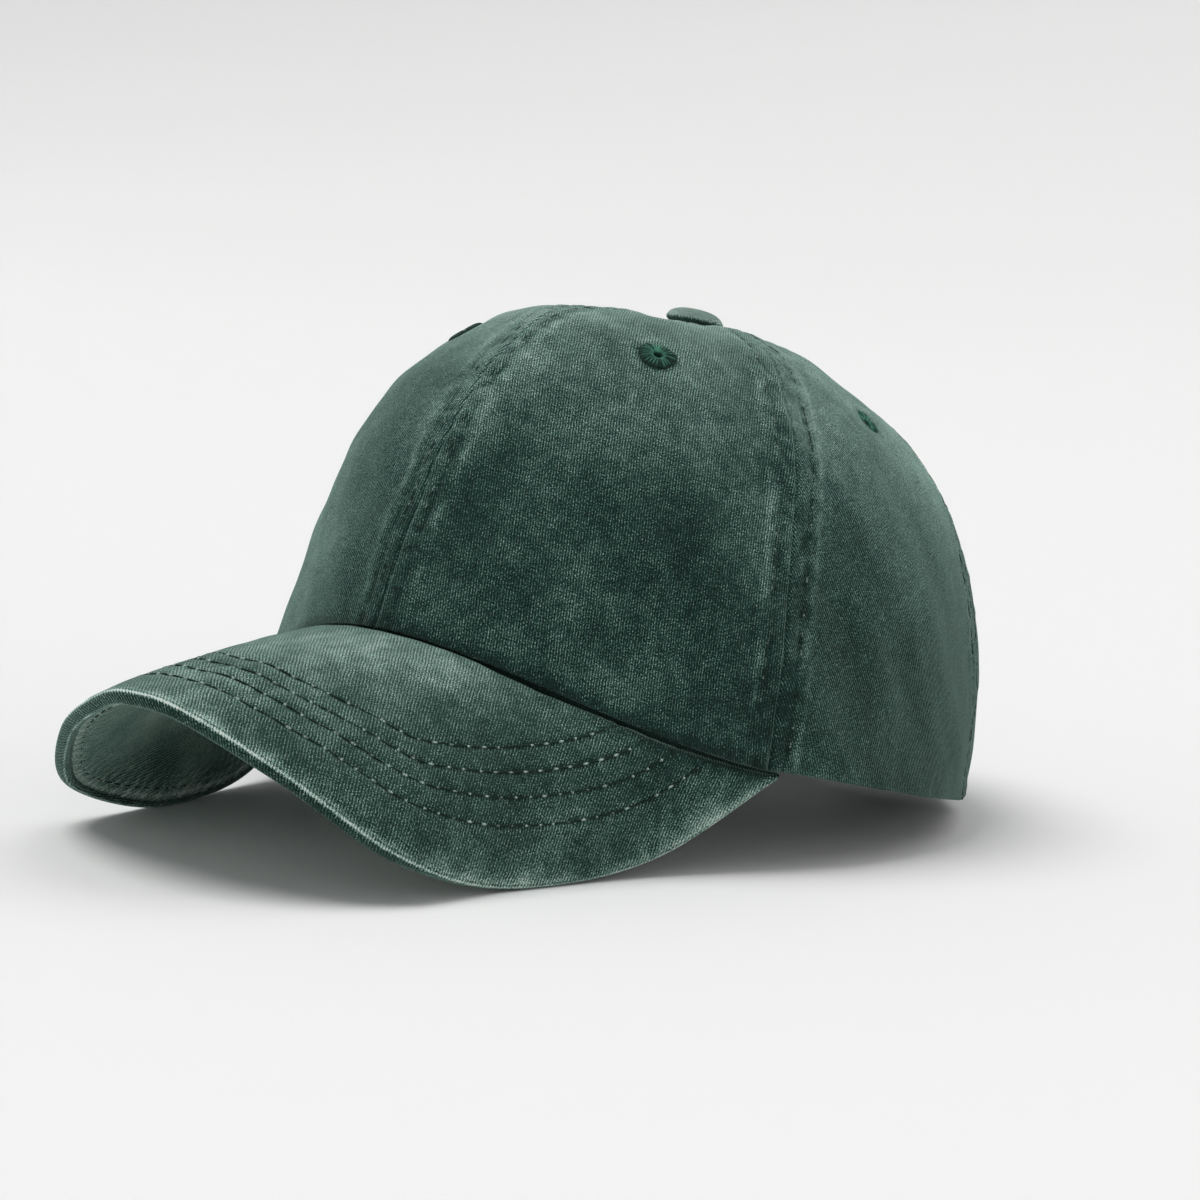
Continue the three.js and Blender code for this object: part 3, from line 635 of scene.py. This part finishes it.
# The button is a pressed metal shell covered with the same twill, riveted through the point where the panels
# meet. The cloth is stretched smooth over it and drawn in under its edge in small folds, and it sits a little
# askew.
BUTTON_RADIUS, BUTTON_HEIGHT, SHANK_RADIUS, BUTTON_SPOKES = 7.0, 3.9, 3.2, 120
turn = np.linspace(0, 2 * np.pi, BUTTON_SPOKES + 1)[:-1]
bend = np.linspace(0, np.pi / 2, 26)
out = BUTTON_RADIUS * np.cos(bend) ** 0.72
high = 0.22 * BUTTON_HEIGHT + 0.78 * BUTTON_HEIGHT * np.sin(bend)
out[-1] = 1e-3
out = np.concatenate([[SHANK_RADIUS, SHANK_RADIUS, 5.6, 6.6], out])
high = np.concatenate([[-2.4, 0.1, 0.15, 0.4], high])
folds = 1 + 0.018 * np.sin(13 * turn) * np.exp(-((high[:, None] - 0.9) / 1.1) ** 2)
across, along = out[:, None] * folds * np.cos(turn), out[:, None] * folds * np.sin(turn)
lean = 0.3 * smooth(high, -1, 0.5)[:, None]
points = np.stack([
    across - 5.6 * lean, along - 4 * lean - BUTTON_FORWARD,
    CROWN_HEIGHT + high[:, None] + lean * (2.6 - 0.12 * across),
], -1)
faces = turned_faces(len(out), BUTTON_SPOKES)
button = make_object("button_twill", resting(points), faces, crown_twill)
# Stretched over the shell, the weave is finer than elsewhere.
flat = 2.4 * np.stack([across, along], -1).reshape(-1, 2)[faces.ravel()] + [30.0, 90.0]
button.data.uv_layers.new(name="cloth_mm").data.foreach_set("uv", flat.astype(np.float32).ravel())
# The shell's cloth is rubbed paler over its dome, and painted darker low under its edge as painted shade.
rub_and_painted_light = 0.62 + 0.2 * bump_at(high, 1.6, 0.8) - 0.9 * (1 - smooth(high, 0.4, 1.4))
wear_and_light_channel = button.data.attributes.new("wear_and_painted_light", "FLOAT", "POINT")
wear_and_light_channel.data.foreach_set("value", np.repeat(rub_and_painted_light, BUTTON_SPOKES).astype(np.float32))
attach(button, "root")
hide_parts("button")


# The brim is a stiff board between two layers of twill. The upper layer rolls round the edge and ends in a
# lip underneath, and rows of stitching follow the edge on top.
BRIM_REACH_ANGLE, BRIM_PROJECTION, WING_HALF, WING_DROP = np.radians(65.3), 75.0, 52.6, 49.9
BRIM_CROWN, BRIM_THICK, BRIM_TOP, BRIM_LIP, ROOT_INSET, BRIM_END = 1.5, 3.4, 1.5, 2.4, 2.7, 0.985
SEAM_GAP = 0.3
BRIM_ROWS = (13.4, 19.5, 25.0, 30.7)
BRIM_EDGE = np.array([
    # share of the wing's half width, of the way forward from the rim's end to the nose, of the wing's drop
    [0.0, 0.99, 0.465], [0.232, 0.97, 0.503], [0.6, 0.889, 0.677], [0.925, 0.729, 0.934], [1.0, 0.499, 1.0],
    [1.148, 0.2136, 0.8],
])


def brim_root(side):
    """The brim's line under the crown's hem."""
    return rim(BRIM_REACH_ANGLE * side) - [0, 0, SEAM_GAP]


end = brim_root(np.array(1.0))
forward = BRIM_PROJECTION + FRONT_LENGTH + end[1]
knots = np.stack([
    BRIM_EDGE[:, 0] * WING_HALF, end[1] - BRIM_EDGE[:, 1] * forward, FRONT_ARCH - BRIM_EDGE[:, 2] * WING_DROP,
], 1)
knots = np.vstack([knots[1] * [-1, 1, 1], knots, end])


def brim_edge(side):
    """The brim's outer edge, from -1 at one end through the nose at 0: a smooth curve through its table."""
    place = np.abs(side).ravel() * (len(knots) - 2) + 1
    points = smooth_through(knots, np.clip(place, 1, len(knots) - 1 - 1e-9))
    points[:, 0] *= np.where(side.ravel() < 0, -1, 1)
    return points.reshape(*side.shape, 3)


def brim(side, out):
    """The brim's top face: straight from its root to its edge, and a little swollen between."""
    points = brim_root(side) * (1 - out[..., None]) + brim_edge(side) * out[..., None]
    points[..., 2] += BRIM_CROWN * 4 * out * (1 - out) * (1 - np.abs(side) ** 3)
    return points


def brim_normal(side, out):
    """The way up out of the brim's top face."""
    across = brim(side + 1e-3, out) - brim(side - 1e-3, out)
    away = brim(side, out + 1e-3) - brim(side, out - 1e-3)
    return -unit(np.cross(across, away))


def root_inside(side, depth):
    """The hidden strip that runs in level under the crown's wall, and shrinks where the brim is steep."""
    along = brim_root(side + 1e-3) - brim_root(side - 1e-3)
    along[..., 2] = 0
    along = unit(along)
    inward = np.stack([-along[..., 1], along[..., 0], 0 * side], -1)
    down = brim_normal(side, 0 * side)
    flat = np.maximum(smooth(down[..., 2], 0.45, 0.8), 0.04)[..., None]
    down = unit(down * (1 - flat) + np.array([0, 0, 1]) * flat)
    return brim_root(side) + inward * ROOT_INSET * flat - down * depth


edge_sides = np.linspace(-1, 1, 1201)
edge_line = brim_edge(edge_sides)
edge_reach = np.concatenate([[0], np.cumsum(np.linalg.norm(np.diff(edge_line, axis=0), axis=1))])


def from_edge(points):
    """Each point's distance from the brim's outer edge, and how far along the edge that is."""
    flat = points.reshape(-1, 3)
    nearest = np.concatenate([
        np.argmin(((block[:, None] - edge_line[None]) ** 2).sum(-1), 1) for block in np.array_split(flat, 40)
    ])
    apart = np.linalg.norm(flat - edge_line[nearest], axis=1)
    return apart.reshape(points.shape[:-1]), edge_reach[nearest].reshape(points.shape[:-1])


sides = np.linspace(-BRIM_END, BRIM_END, 361)
width = np.linalg.norm(brim_root(sides) - brim_edge(sides), axis=1)
roll = BRIM_THICK / 2
spread = 0.5 - 0.5 * np.cos(np.linspace(0, np.pi, 96))
side_grid, share = np.meshgrid(sides, spread, indexing="ij")
roll_start = (1 - roll / width)[:, None]
face_out = share * roll_start
top_face = brim(side_grid, face_out)
top_normal = brim_normal(side_grid, face_out)
apart, reach = from_edge(top_face)
ruck = waver(top_face, 21, 9)
relief = 0.35 * waver(top_face, 22, 42) + 0.1 * waver(top_face, 23, 12)
wear_and_painted_light = 0.07 * waver(top_face, 24, 26) + (0.50 + 0.15 * waver(top_face, 26, 12)) * bump_at(apart, 0.8, 1.3)
wear_and_painted_light += (0.16 + 0.12 * waver(top_face, 28, 10)) * bump_at(apart, 2.0, 3.5)
# The brim's top is faded where it faces up, and painted paler there as painted light from above, most towards
# the crown.
up_face_fade_and_painted_light = smooth(top_normal[..., 2], 0.55, 0.97)
wear_and_painted_light += (0.26 + 0.10 * waver(top_face, 27, 9) + 0.16 * smooth(apart, 25, 50)) * up_face_fade_and_painted_light - 0.08
pucker = np.sin(2 * np.pi * reach / 8.2 + 1.8 * ruck)
# Each stitch row sinks into a groove, which is painted darker as painted shade. The pucker crests beside it
# are rubbed paler.
for row in BRIM_ROWS:
    relief += -0.30 * bump_at(apart, row, 0.6) + 0.10 * pucker * bump_at(apart, row, 2.2)
    wear_and_painted_light += -0.30 * bump_at(apart, row, 0.45) + 0.14 * np.clip(pucker, 0, 1) * bump_at(apart, row, 1.5)
near_root = share * width[:, None]
relief *= smooth(near_root, 0.0, 1.2) * smooth(apart, 1.7, 4.0)
relief -= 1.15 * bump_at(near_root, 0.9, 0.8) + 0.2 * bump_at(near_root, 1.5, 2.0)
# Painted shade: the brim is painted darker in the crease at its root under the crown's hem, and a little
# darker for a few millimetres out from it.
wear_and_painted_light += -1.3 * bump_at(near_root, 0.6, 1.4) - 0.35 * bump_at(near_root, 0, 4.0)

turns = np.linspace(np.pi / 2, -np.pi / 2, 21)[1:]
normal = brim_normal(sides, roll_start[:, 0])
away = brim_edge(sides) - brim(sides, roll_start[:, 0])
away = unit(away - (away * normal).sum(-1, keepdims=True) * normal)
centre = brim(sides, roll_start[:, 0]) - normal * roll
lip = np.minimum(BRIM_LIP - roll, 0.3 * width)[:, None, None] * np.array([0.4, 0.8, 1.0])[:, None]


def brim_strip(depth, lifted):
    """The upper cloth at a depth under its face: inside the crown, over the top, round the edge on a circle
    drawn out towards a square, and under the lip."""
    around = centre[:, None] + (roll - depth) * (
        signed_power(np.cos(turns), 0.62)[None, :, None] * away[:, None]
        + signed_power(np.sin(turns), 0.62)[None, :, None] * normal[:, None]
    )
    under = around[:, -1:] - away[:, None] * lip
    top = top_face - top_normal * (depth - lifted[..., None])
    return np.concatenate([root_inside(sides, depth)[:, None], top, around, under], 1)


def flat_pattern(sides, outs):
    """The brim laid flat: each line from root to edge keeps its angles to the next stretch of the root."""
    root, ruling = brim_root(sides), unit(brim_edge(sides) - brim_root(sides))
    step = np.diff(root, axis=0)
    angle = lambda a, b: np.arccos(np.clip((a * unit(b)).sum(-1), -1, 1))
    before, after = angle(ruling[:-1], step), angle(ruling[1:], step)
    bearing = np.concatenate([[0], np.cumsum(after - before)])
    bearing -= bearing[len(bearing) // 2]
    heading = bearing[:-1] - before
    ends = np.linalg.norm(step, axis=1)[:, None] * np.stack([np.cos(heading), np.sin(heading)], 1)
    start = np.vstack([[0, 0], np.cumsum(ends, 0)])
    laid = start[:, None] + outs[..., None] * np.stack([np.cos(bearing), np.sin(bearing)], 1)[:, None]
    return laid[..., 0], laid[..., 1]


# Round its edge the cloth is rubbed pale at both corners, most at the nose, and stays dark between them.
edge_ruck = waver(centre, 25, 5)[:, None]
turned_wear = (1.0 + 0.6 * bump_at(sides, 0, 0.35)[:, None] + 0.25 * edge_ruck) * bump_at(turns, 1.0, 0.33)
turned_wear = turned_wear - 0.2 * bump_at(turns, -0.1, 0.6)
turned_wear = turned_wear + (0.8 + 0.3 * edge_ruck) * bump_at(turns, -0.95, 0.2)
wear_and_painted_light = np.concatenate([
    0 * sides[:, None] - 0.9, wear_and_painted_light, turned_wear, -0.35 + 0 * lip[:, :, 0] + 0.1 * edge_ruck,
], 1)
outer, inner = brim_strip(0.0, relief), brim_strip(BRIM_TOP, 0 * relief)
steps = np.linalg.norm(np.diff(outer, axis=1), axis=-1)
out_along = np.hstack([np.zeros((len(sides), 1)), np.cumsum(steps, 1)])
along, across = flat_pattern(sides, out_along)
brim_twill = washed_twill("washed_green_brim_twill", "#071d19", "#20463c", "#9bb9ae", wale=0.7)
brim_top = make_sheet("brim_top_twill", outer, inner, across, along, wear_and_painted_light, brim_twill, grain=np.radians(36))
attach(brim_top, "root")
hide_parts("brim_top")

rows = []
for row in BRIM_ROWS:
    inside = apart[:, ::-1]
    crosses = np.array([np.interp(row, inside[i], face_out[i, ::-1]) for i in range(len(sides))])
    reaches = (apart[:, 0] > row + 1.0)
    line, outs = sides[reaches], crosses[reaches]
    path, normals = brim(line, outs), brim_normal(line, outs)
    lift = 0.35 * waver(path, 22, 42) + 0.1 * waver(path, 23, 12) - 0.18
    rows.append(stitch_row(path + normals * lift[:, None], normals))
make_stitches("brim_topstitching", rows, seam_thread)


# The brim's under cloth is a twill of the same kind, painted paler as painted light thrown up under the brim.
# It is pulled tight round the board, so it streaks towards the edge, and is caught by a row of stitching just
# inside the lip. At each end it stops short of the upper cloth by two of the 36 stretches that the solid has.
UNDER_END, UNDER_ROW, UNDER_GAP = BRIM_END * (1 - 4 / 36), 5.0, 0.45
sides = np.linspace(-UNDER_END, UNDER_END, 321)
width = np.linalg.norm(brim_root(sides) - brim_edge(sides), axis=1)
side_grid, share = np.meshgrid(sides, np.linspace(0, 1, 66), indexing="ij")
face_out = share * (1 - (BRIM_LIP + 0.35) / width)[:, None]
face, normal = brim(side_grid, face_out), brim_normal(side_grid, face_out)
apart, reach = from_edge(face)
slant = 2 * np.pi * (reach + 0.8 * apart) / 3.4
streak = np.sin(slant + 2.5 * waver(face, 31, 11)) * np.exp(-((apart - 3) / 9) ** 2)
relief = 0.25 * waver(face, 32, 30) + 0.16 * streak
relief += 0.25 * bump_at(apart, UNDER_ROW + 0.6, 1.0) - 0.2 * bump_at(apart, UNDER_ROW - 0.6, 0.4)
relief *= smooth(share * width[:, None], 0, 1.2)
wear_and_painted_light = 0.12 * waver(face, 33, 24) + 0.8 * np.clip(streak, 0, 1) ** 1.4
wear_and_painted_light += 0.7 * bump_at(apart, BRIM_LIP + 0.8, 0.6)
# Painted light: the under cloth is painted paler further in from the edge, where the brim shades it.
wear_and_painted_light += 0.3 * smooth(apart, 8, 24) + 1.3 * smooth(apart, 16, 40)
lower = face - normal * (BRIM_THICK + relief[..., None])
upper = face - normal * (BRIM_TOP + UNDER_GAP)
lower = np.concatenate([root_inside(sides, BRIM_THICK)[:, None], lower], 1)
upper = np.concatenate([root_inside(sides, BRIM_TOP + UNDER_GAP)[:, None], upper], 1)
wear_and_painted_light = np.hstack([0 * sides[:, None] - 0.8, wear_and_painted_light])
steps = np.linalg.norm(np.diff(upper, axis=1), axis=-1)
along, across = flat_pattern(sides, np.hstack([np.zeros((len(sides), 1)), np.cumsum(steps, 1)]))
# Painted light: these colours are paler than the cloth's own, to stand in for the light thrown up under the
# brim.
under_twill_painted_pale = washed_twill("washed_green_under_twill_painted_pale", "#24423a", "#5b7a6f", "#aebfb7")
brim_under = make_sheet("brim_under_twill", upper, lower, across, along, wear_and_painted_light, under_twill_painted_pale)
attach(brim_under, "root")
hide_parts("brim_under")

crosses = np.array([np.interp(UNDER_ROW, apart[i, ::-1], face_out[i, ::-1]) for i in range(len(sides))])
path, normals = brim(sides, crosses), -brim_normal(sides, crosses)
rows = [stitch_row(path + normals * (BRIM_THICK + 0.05), normals, pitch=3.6)]
make_stitches("under_edge_stitching", rows, seam_thread)


# The sweatband is a folded strip of softer twill, sewn in at the hem and free at its upper edge. It stops on
# each side of the slit.
BAND_FOOT, BAND_HEIGHT, BAND_CLOTH, BAND_STOP, BAND_ROW, BAND_GAP = 1.2, 30.0, 1.0, 11.0, 3.0, 0.45
band_twill = washed_twill("sweatband_twill", "#142823", "#2c4a42", "#819b90")


def climb_at(angle, height):
    """The climb at a height above the rim."""
    steps = np.linspace(0, 1, 400) ** 2 * 0.9
    grid_angle, grid_climb = np.meshgrid(angle, steps, indexing="ij")
    rises = crown(grid_angle, grid_climb)[..., 2] - rim(angle)[:, None, 2]
    return np.array([np.interp(height, rises[i], steps) for i in range(len(angle))]).T


end = np.pi - BAND_STOP / BACK_LENGTH
angles = np.linspace(-end, end, 421)
heights = np.concatenate([
    [0, 0.25], np.linspace(0.8, BAND_HEIGHT - 0.8, 30), [BAND_HEIGHT - 0.25, BAND_HEIGHT],
]) + BAND_FOOT
climb = climb_at(angles, heights)
angle = np.tile(angles, (len(heights), 1))
face, normal = crown(angle, climb), crown_normal(angle, climb)
rise = heights[:, None] - BAND_FOOT + 0 * angle
ruck = waver(face, 41, 12)
relief = 0.12 * ruck - 0.22 * bump_at(rise, BAND_ROW, 0.6) - 0.22 * bump_at(rise, BAND_HEIGHT - BAND_ROW, 0.6)
ends = bump_at(rise, 0, 0.4) + bump_at(rise, BAND_HEIGHT, 0.4)
inner = face - normal * (CLOTH + BAND_GAP + BAND_CLOTH + relief - 0.35 * ends)[..., None]
outer = face - normal * (CLOTH + BAND_GAP + 0.1 * ends)[..., None]
wear_and_painted_light = 0.1 * ruck + 0.3 * ends
around = np.concatenate([[0], np.cumsum(np.linalg.norm(np.diff(rim(angles), axis=0), axis=1))])
band = make_sheet("sweatband_cloth", outer, inner, np.tile(around, (len(heights), 1)), rise, wear_and_painted_light, band_twill)
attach(band, "root")
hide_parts("sweatband")

rows = []
depth = CLOTH + BAND_GAP + BAND_CLOTH - 0.1
for row in (BAND_ROW, BAND_HEIGHT - BAND_ROW):
    climb = climb_at(angles, np.array([BAND_FOOT + row]))[0]
    normals = crown_normal(angles, climb)
    rows.append(stitch_row(crown(angles, climb) - normals * depth, -normals))
make_stitches("sweatband_stitching", rows, seam_thread)


# The slit's raw edge is bound with a tape of the same cloth, folded over it and stitched through.
BINDING_LEG, BINDING_CLOTH, BINDING_GAP, BINDING_ROW = 5.0, 0.7, 0.45, 3.6
SLIT_FOOT = np.radians(0.35)


def on_back(left, climb, depth):
    """A point by the centre back: a length towards the wearer's left, a climb, and a depth under the face."""
    angle = np.pi - left / reach_at(np.pi + 0 * left, climb)
    return crown(angle, climb) - crown_normal(angle, climb) * depth[..., None]


edge = slit_edge.copy()
edge[:, 1] = np.maximum(edge[:, 1], BACK_SCALE * SLIT_FOOT)
first = np.argmax(edge[:, 1] > BACK_SCALE * SLIT_FOOT) - 1
edge = edge[first:len(edge) - first]
ahead = unit(np.gradient(edge, axis=0))


def binding_strip(inset):
    """The tape's folded section carried along the slit's edge, at an inset from its outside."""
    half = CLOTH / 2 + BINDING_GAP + BINDING_CLOTH - inset
    fold = BINDING_GAP + BINDING_CLOTH - inset
    corner = min(0.9, fold, half)
    turn = np.linspace(0, np.pi / 2, 6)
    legs = np.linspace(-BINDING_LEG, fold - corner, 13)
    upper = np.stack([legs, half + 0 * legs], 1)
    upper[0, 1] -= 0.2
    arc = np.stack([fold - corner + corner * np.sin(turn), half - corner + corner * np.cos(turn)], 1)[1:]
    section = np.vstack([upper, arc, (arc * [1, -1])[::-1], (upper * [1, -1])[::-1]])
    into, high = section[:, 0], section[:, 1]
    left = edge[:, :1] - ahead[:, 1:] * into
    climb = np.maximum(edge[:, 1:] + ahead[:, :1] * into, 0) / BACK_SCALE
    return on_back(left, climb, np.broadcast_to(CLOTH / 2 - high, left.shape)), into


outer, into = binding_strip(0.0)
inner, _ = binding_strip(BINDING_CLOTH)
reach = np.concatenate([[0], np.cumsum(np.linalg.norm(np.diff(edge, axis=0), axis=1))])
across = np.tile(np.arange(outer.shape[1]) * 0.6, (len(edge), 1))
ruck = waver(outer, 51, 8)
wear_and_painted_light = 0.15 * ruck + 0.45 * smooth(into, 0.2, 1.0)[None, :] + 0.3 * bump_at(into, -BINDING_LEG, 0.5)[None, :]
# Painted shade: the tape is painted darker along its stitch row.
wear_and_painted_light = wear_and_painted_light - 0.2 * bump_at(into, -BINDING_ROW, 0.5)[None, :]
along = np.tile(reach[:, None], (1, outer.shape[1]))
binding = make_sheet("slit_binding_tape", outer, inner, across, along, wear_and_painted_light, band_twill)
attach(binding, "root")
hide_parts("slit_binding")

rows = []
above = BINDING_GAP + BINDING_CLOTH - 0.08
for depth, way in ((-above, 1), (CLOTH + above, -1)):
    left = edge[:, 0] + ahead[:, 1] * BINDING_ROW
    climb = np.maximum(edge[:, 1] - ahead[:, 0] * BINDING_ROW, 0) / BACK_SCALE
    angle = np.pi - left / reach_at(np.pi + 0 * left, climb)
    path = on_back(left, climb, np.full(len(left), depth))
    rows.append(stitch_row(path, way * crown_normal(angle, climb), pitch=3.4))
make_stitches("binding_stitching", rows, seam_thread)


# The closure strap is a double layer of twill. It is sewn down on one side and held on the other by hook and
# loop tape, and lies over the binding at the rim.
STRAP_FOOT, STRAP_HEIGHT, STRAP_HALF, STRAP_CLOTH, STRAP_GAP, STRAP_ROW = 3.0, 24.0, 34.0, 1.5, 0.3, 2.4
lengths = np.concatenate([
    [STRAP_HALF, STRAP_HALF - 0.3], np.linspace(STRAP_HALF - 1, 1 - STRAP_HALF, 121),
    [0.3 - STRAP_HALF, -STRAP_HALF],
])
heights = np.concatenate([[0, 0.3], np.linspace(1, STRAP_HEIGHT - 1, 40), [STRAP_HEIGHT - 0.3, STRAP_HEIGHT]])
angles = np.pi - lengths / BACK_LENGTH
climb = climb_at(angles, heights + STRAP_FOOT)
angle = np.tile(angles, (len(heights), 1))
bound = 0.3 * SLIT_HALF + BINDING_LEG
over = 1 - smooth(np.abs(lengths), bound + 1, bound + 11)
gap = STRAP_GAP + over * (BINDING_CLOTH + 0.6)
face, normal = crown(angle, climb), crown_normal(angle, climb)
inset = np.minimum(np.minimum(heights, STRAP_HEIGHT - heights)[:, None], STRAP_HALF - np.abs(lengths))
ruck = waver(face, 61, 10)
relief = 0.15 * ruck * smooth(inset, 0, 2)
relief -= 0.5 * bump_at(inset, 0, 0.5) + 0.25 * bump_at(inset, STRAP_ROW, 0.6)
outer = face + normal * (gap + STRAP_CLOTH + relief)[..., None]
inner = face + normal * (gap + 0 * relief)[..., None]
# The strap is rubbed paler at its edges, and painted darker along its stitch rows as painted shade.
wear_and_painted_light = 0.12 * ruck + 0.45 * bump_at(inset, 0.4, 0.6) - 0.15 * bump_at(inset, STRAP_ROW, 0.5)
strap = make_sheet(
    "closure_strap_twill", outer, inner, np.tile(-lengths, (len(heights), 1)),
    np.tile(heights[:, None], (1, len(lengths))), wear_and_painted_light, crown_twill,
)
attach(strap, "root")
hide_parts("closure_strap")

rows = []
for row in (STRAP_ROW, STRAP_HEIGHT - STRAP_ROW):
    line = lengths[np.abs(lengths) < STRAP_HALF - STRAP_ROW]
    angle = np.pi - line / BACK_LENGTH
    climb = climb_at(angle, np.array([STRAP_FOOT + row]))[0]
    high = np.interp(-line, -lengths, gap) + STRAP_CLOTH - 0.1
    normals = crown_normal(angle, climb)
    rows.append(stitch_row(crown(angle, climb) + normals * high[:, None], normals))
for line in (STRAP_HALF - STRAP_ROW, STRAP_ROW - STRAP_HALF):
    tall = np.linspace(STRAP_ROW, STRAP_HEIGHT - STRAP_ROW, 40)
    angle = np.full(40, np.pi - line / BACK_LENGTH)
    climb = climb_at(angle[:1], STRAP_FOOT + tall)[:, 0]
    normals = crown_normal(angle, climb)
    rows.append(stitch_row(crown(angle, climb) + normals * (STRAP_GAP + STRAP_CLOTH - 0.1), normals))
make_stitches("strap_stitching", rows, seam_thread)
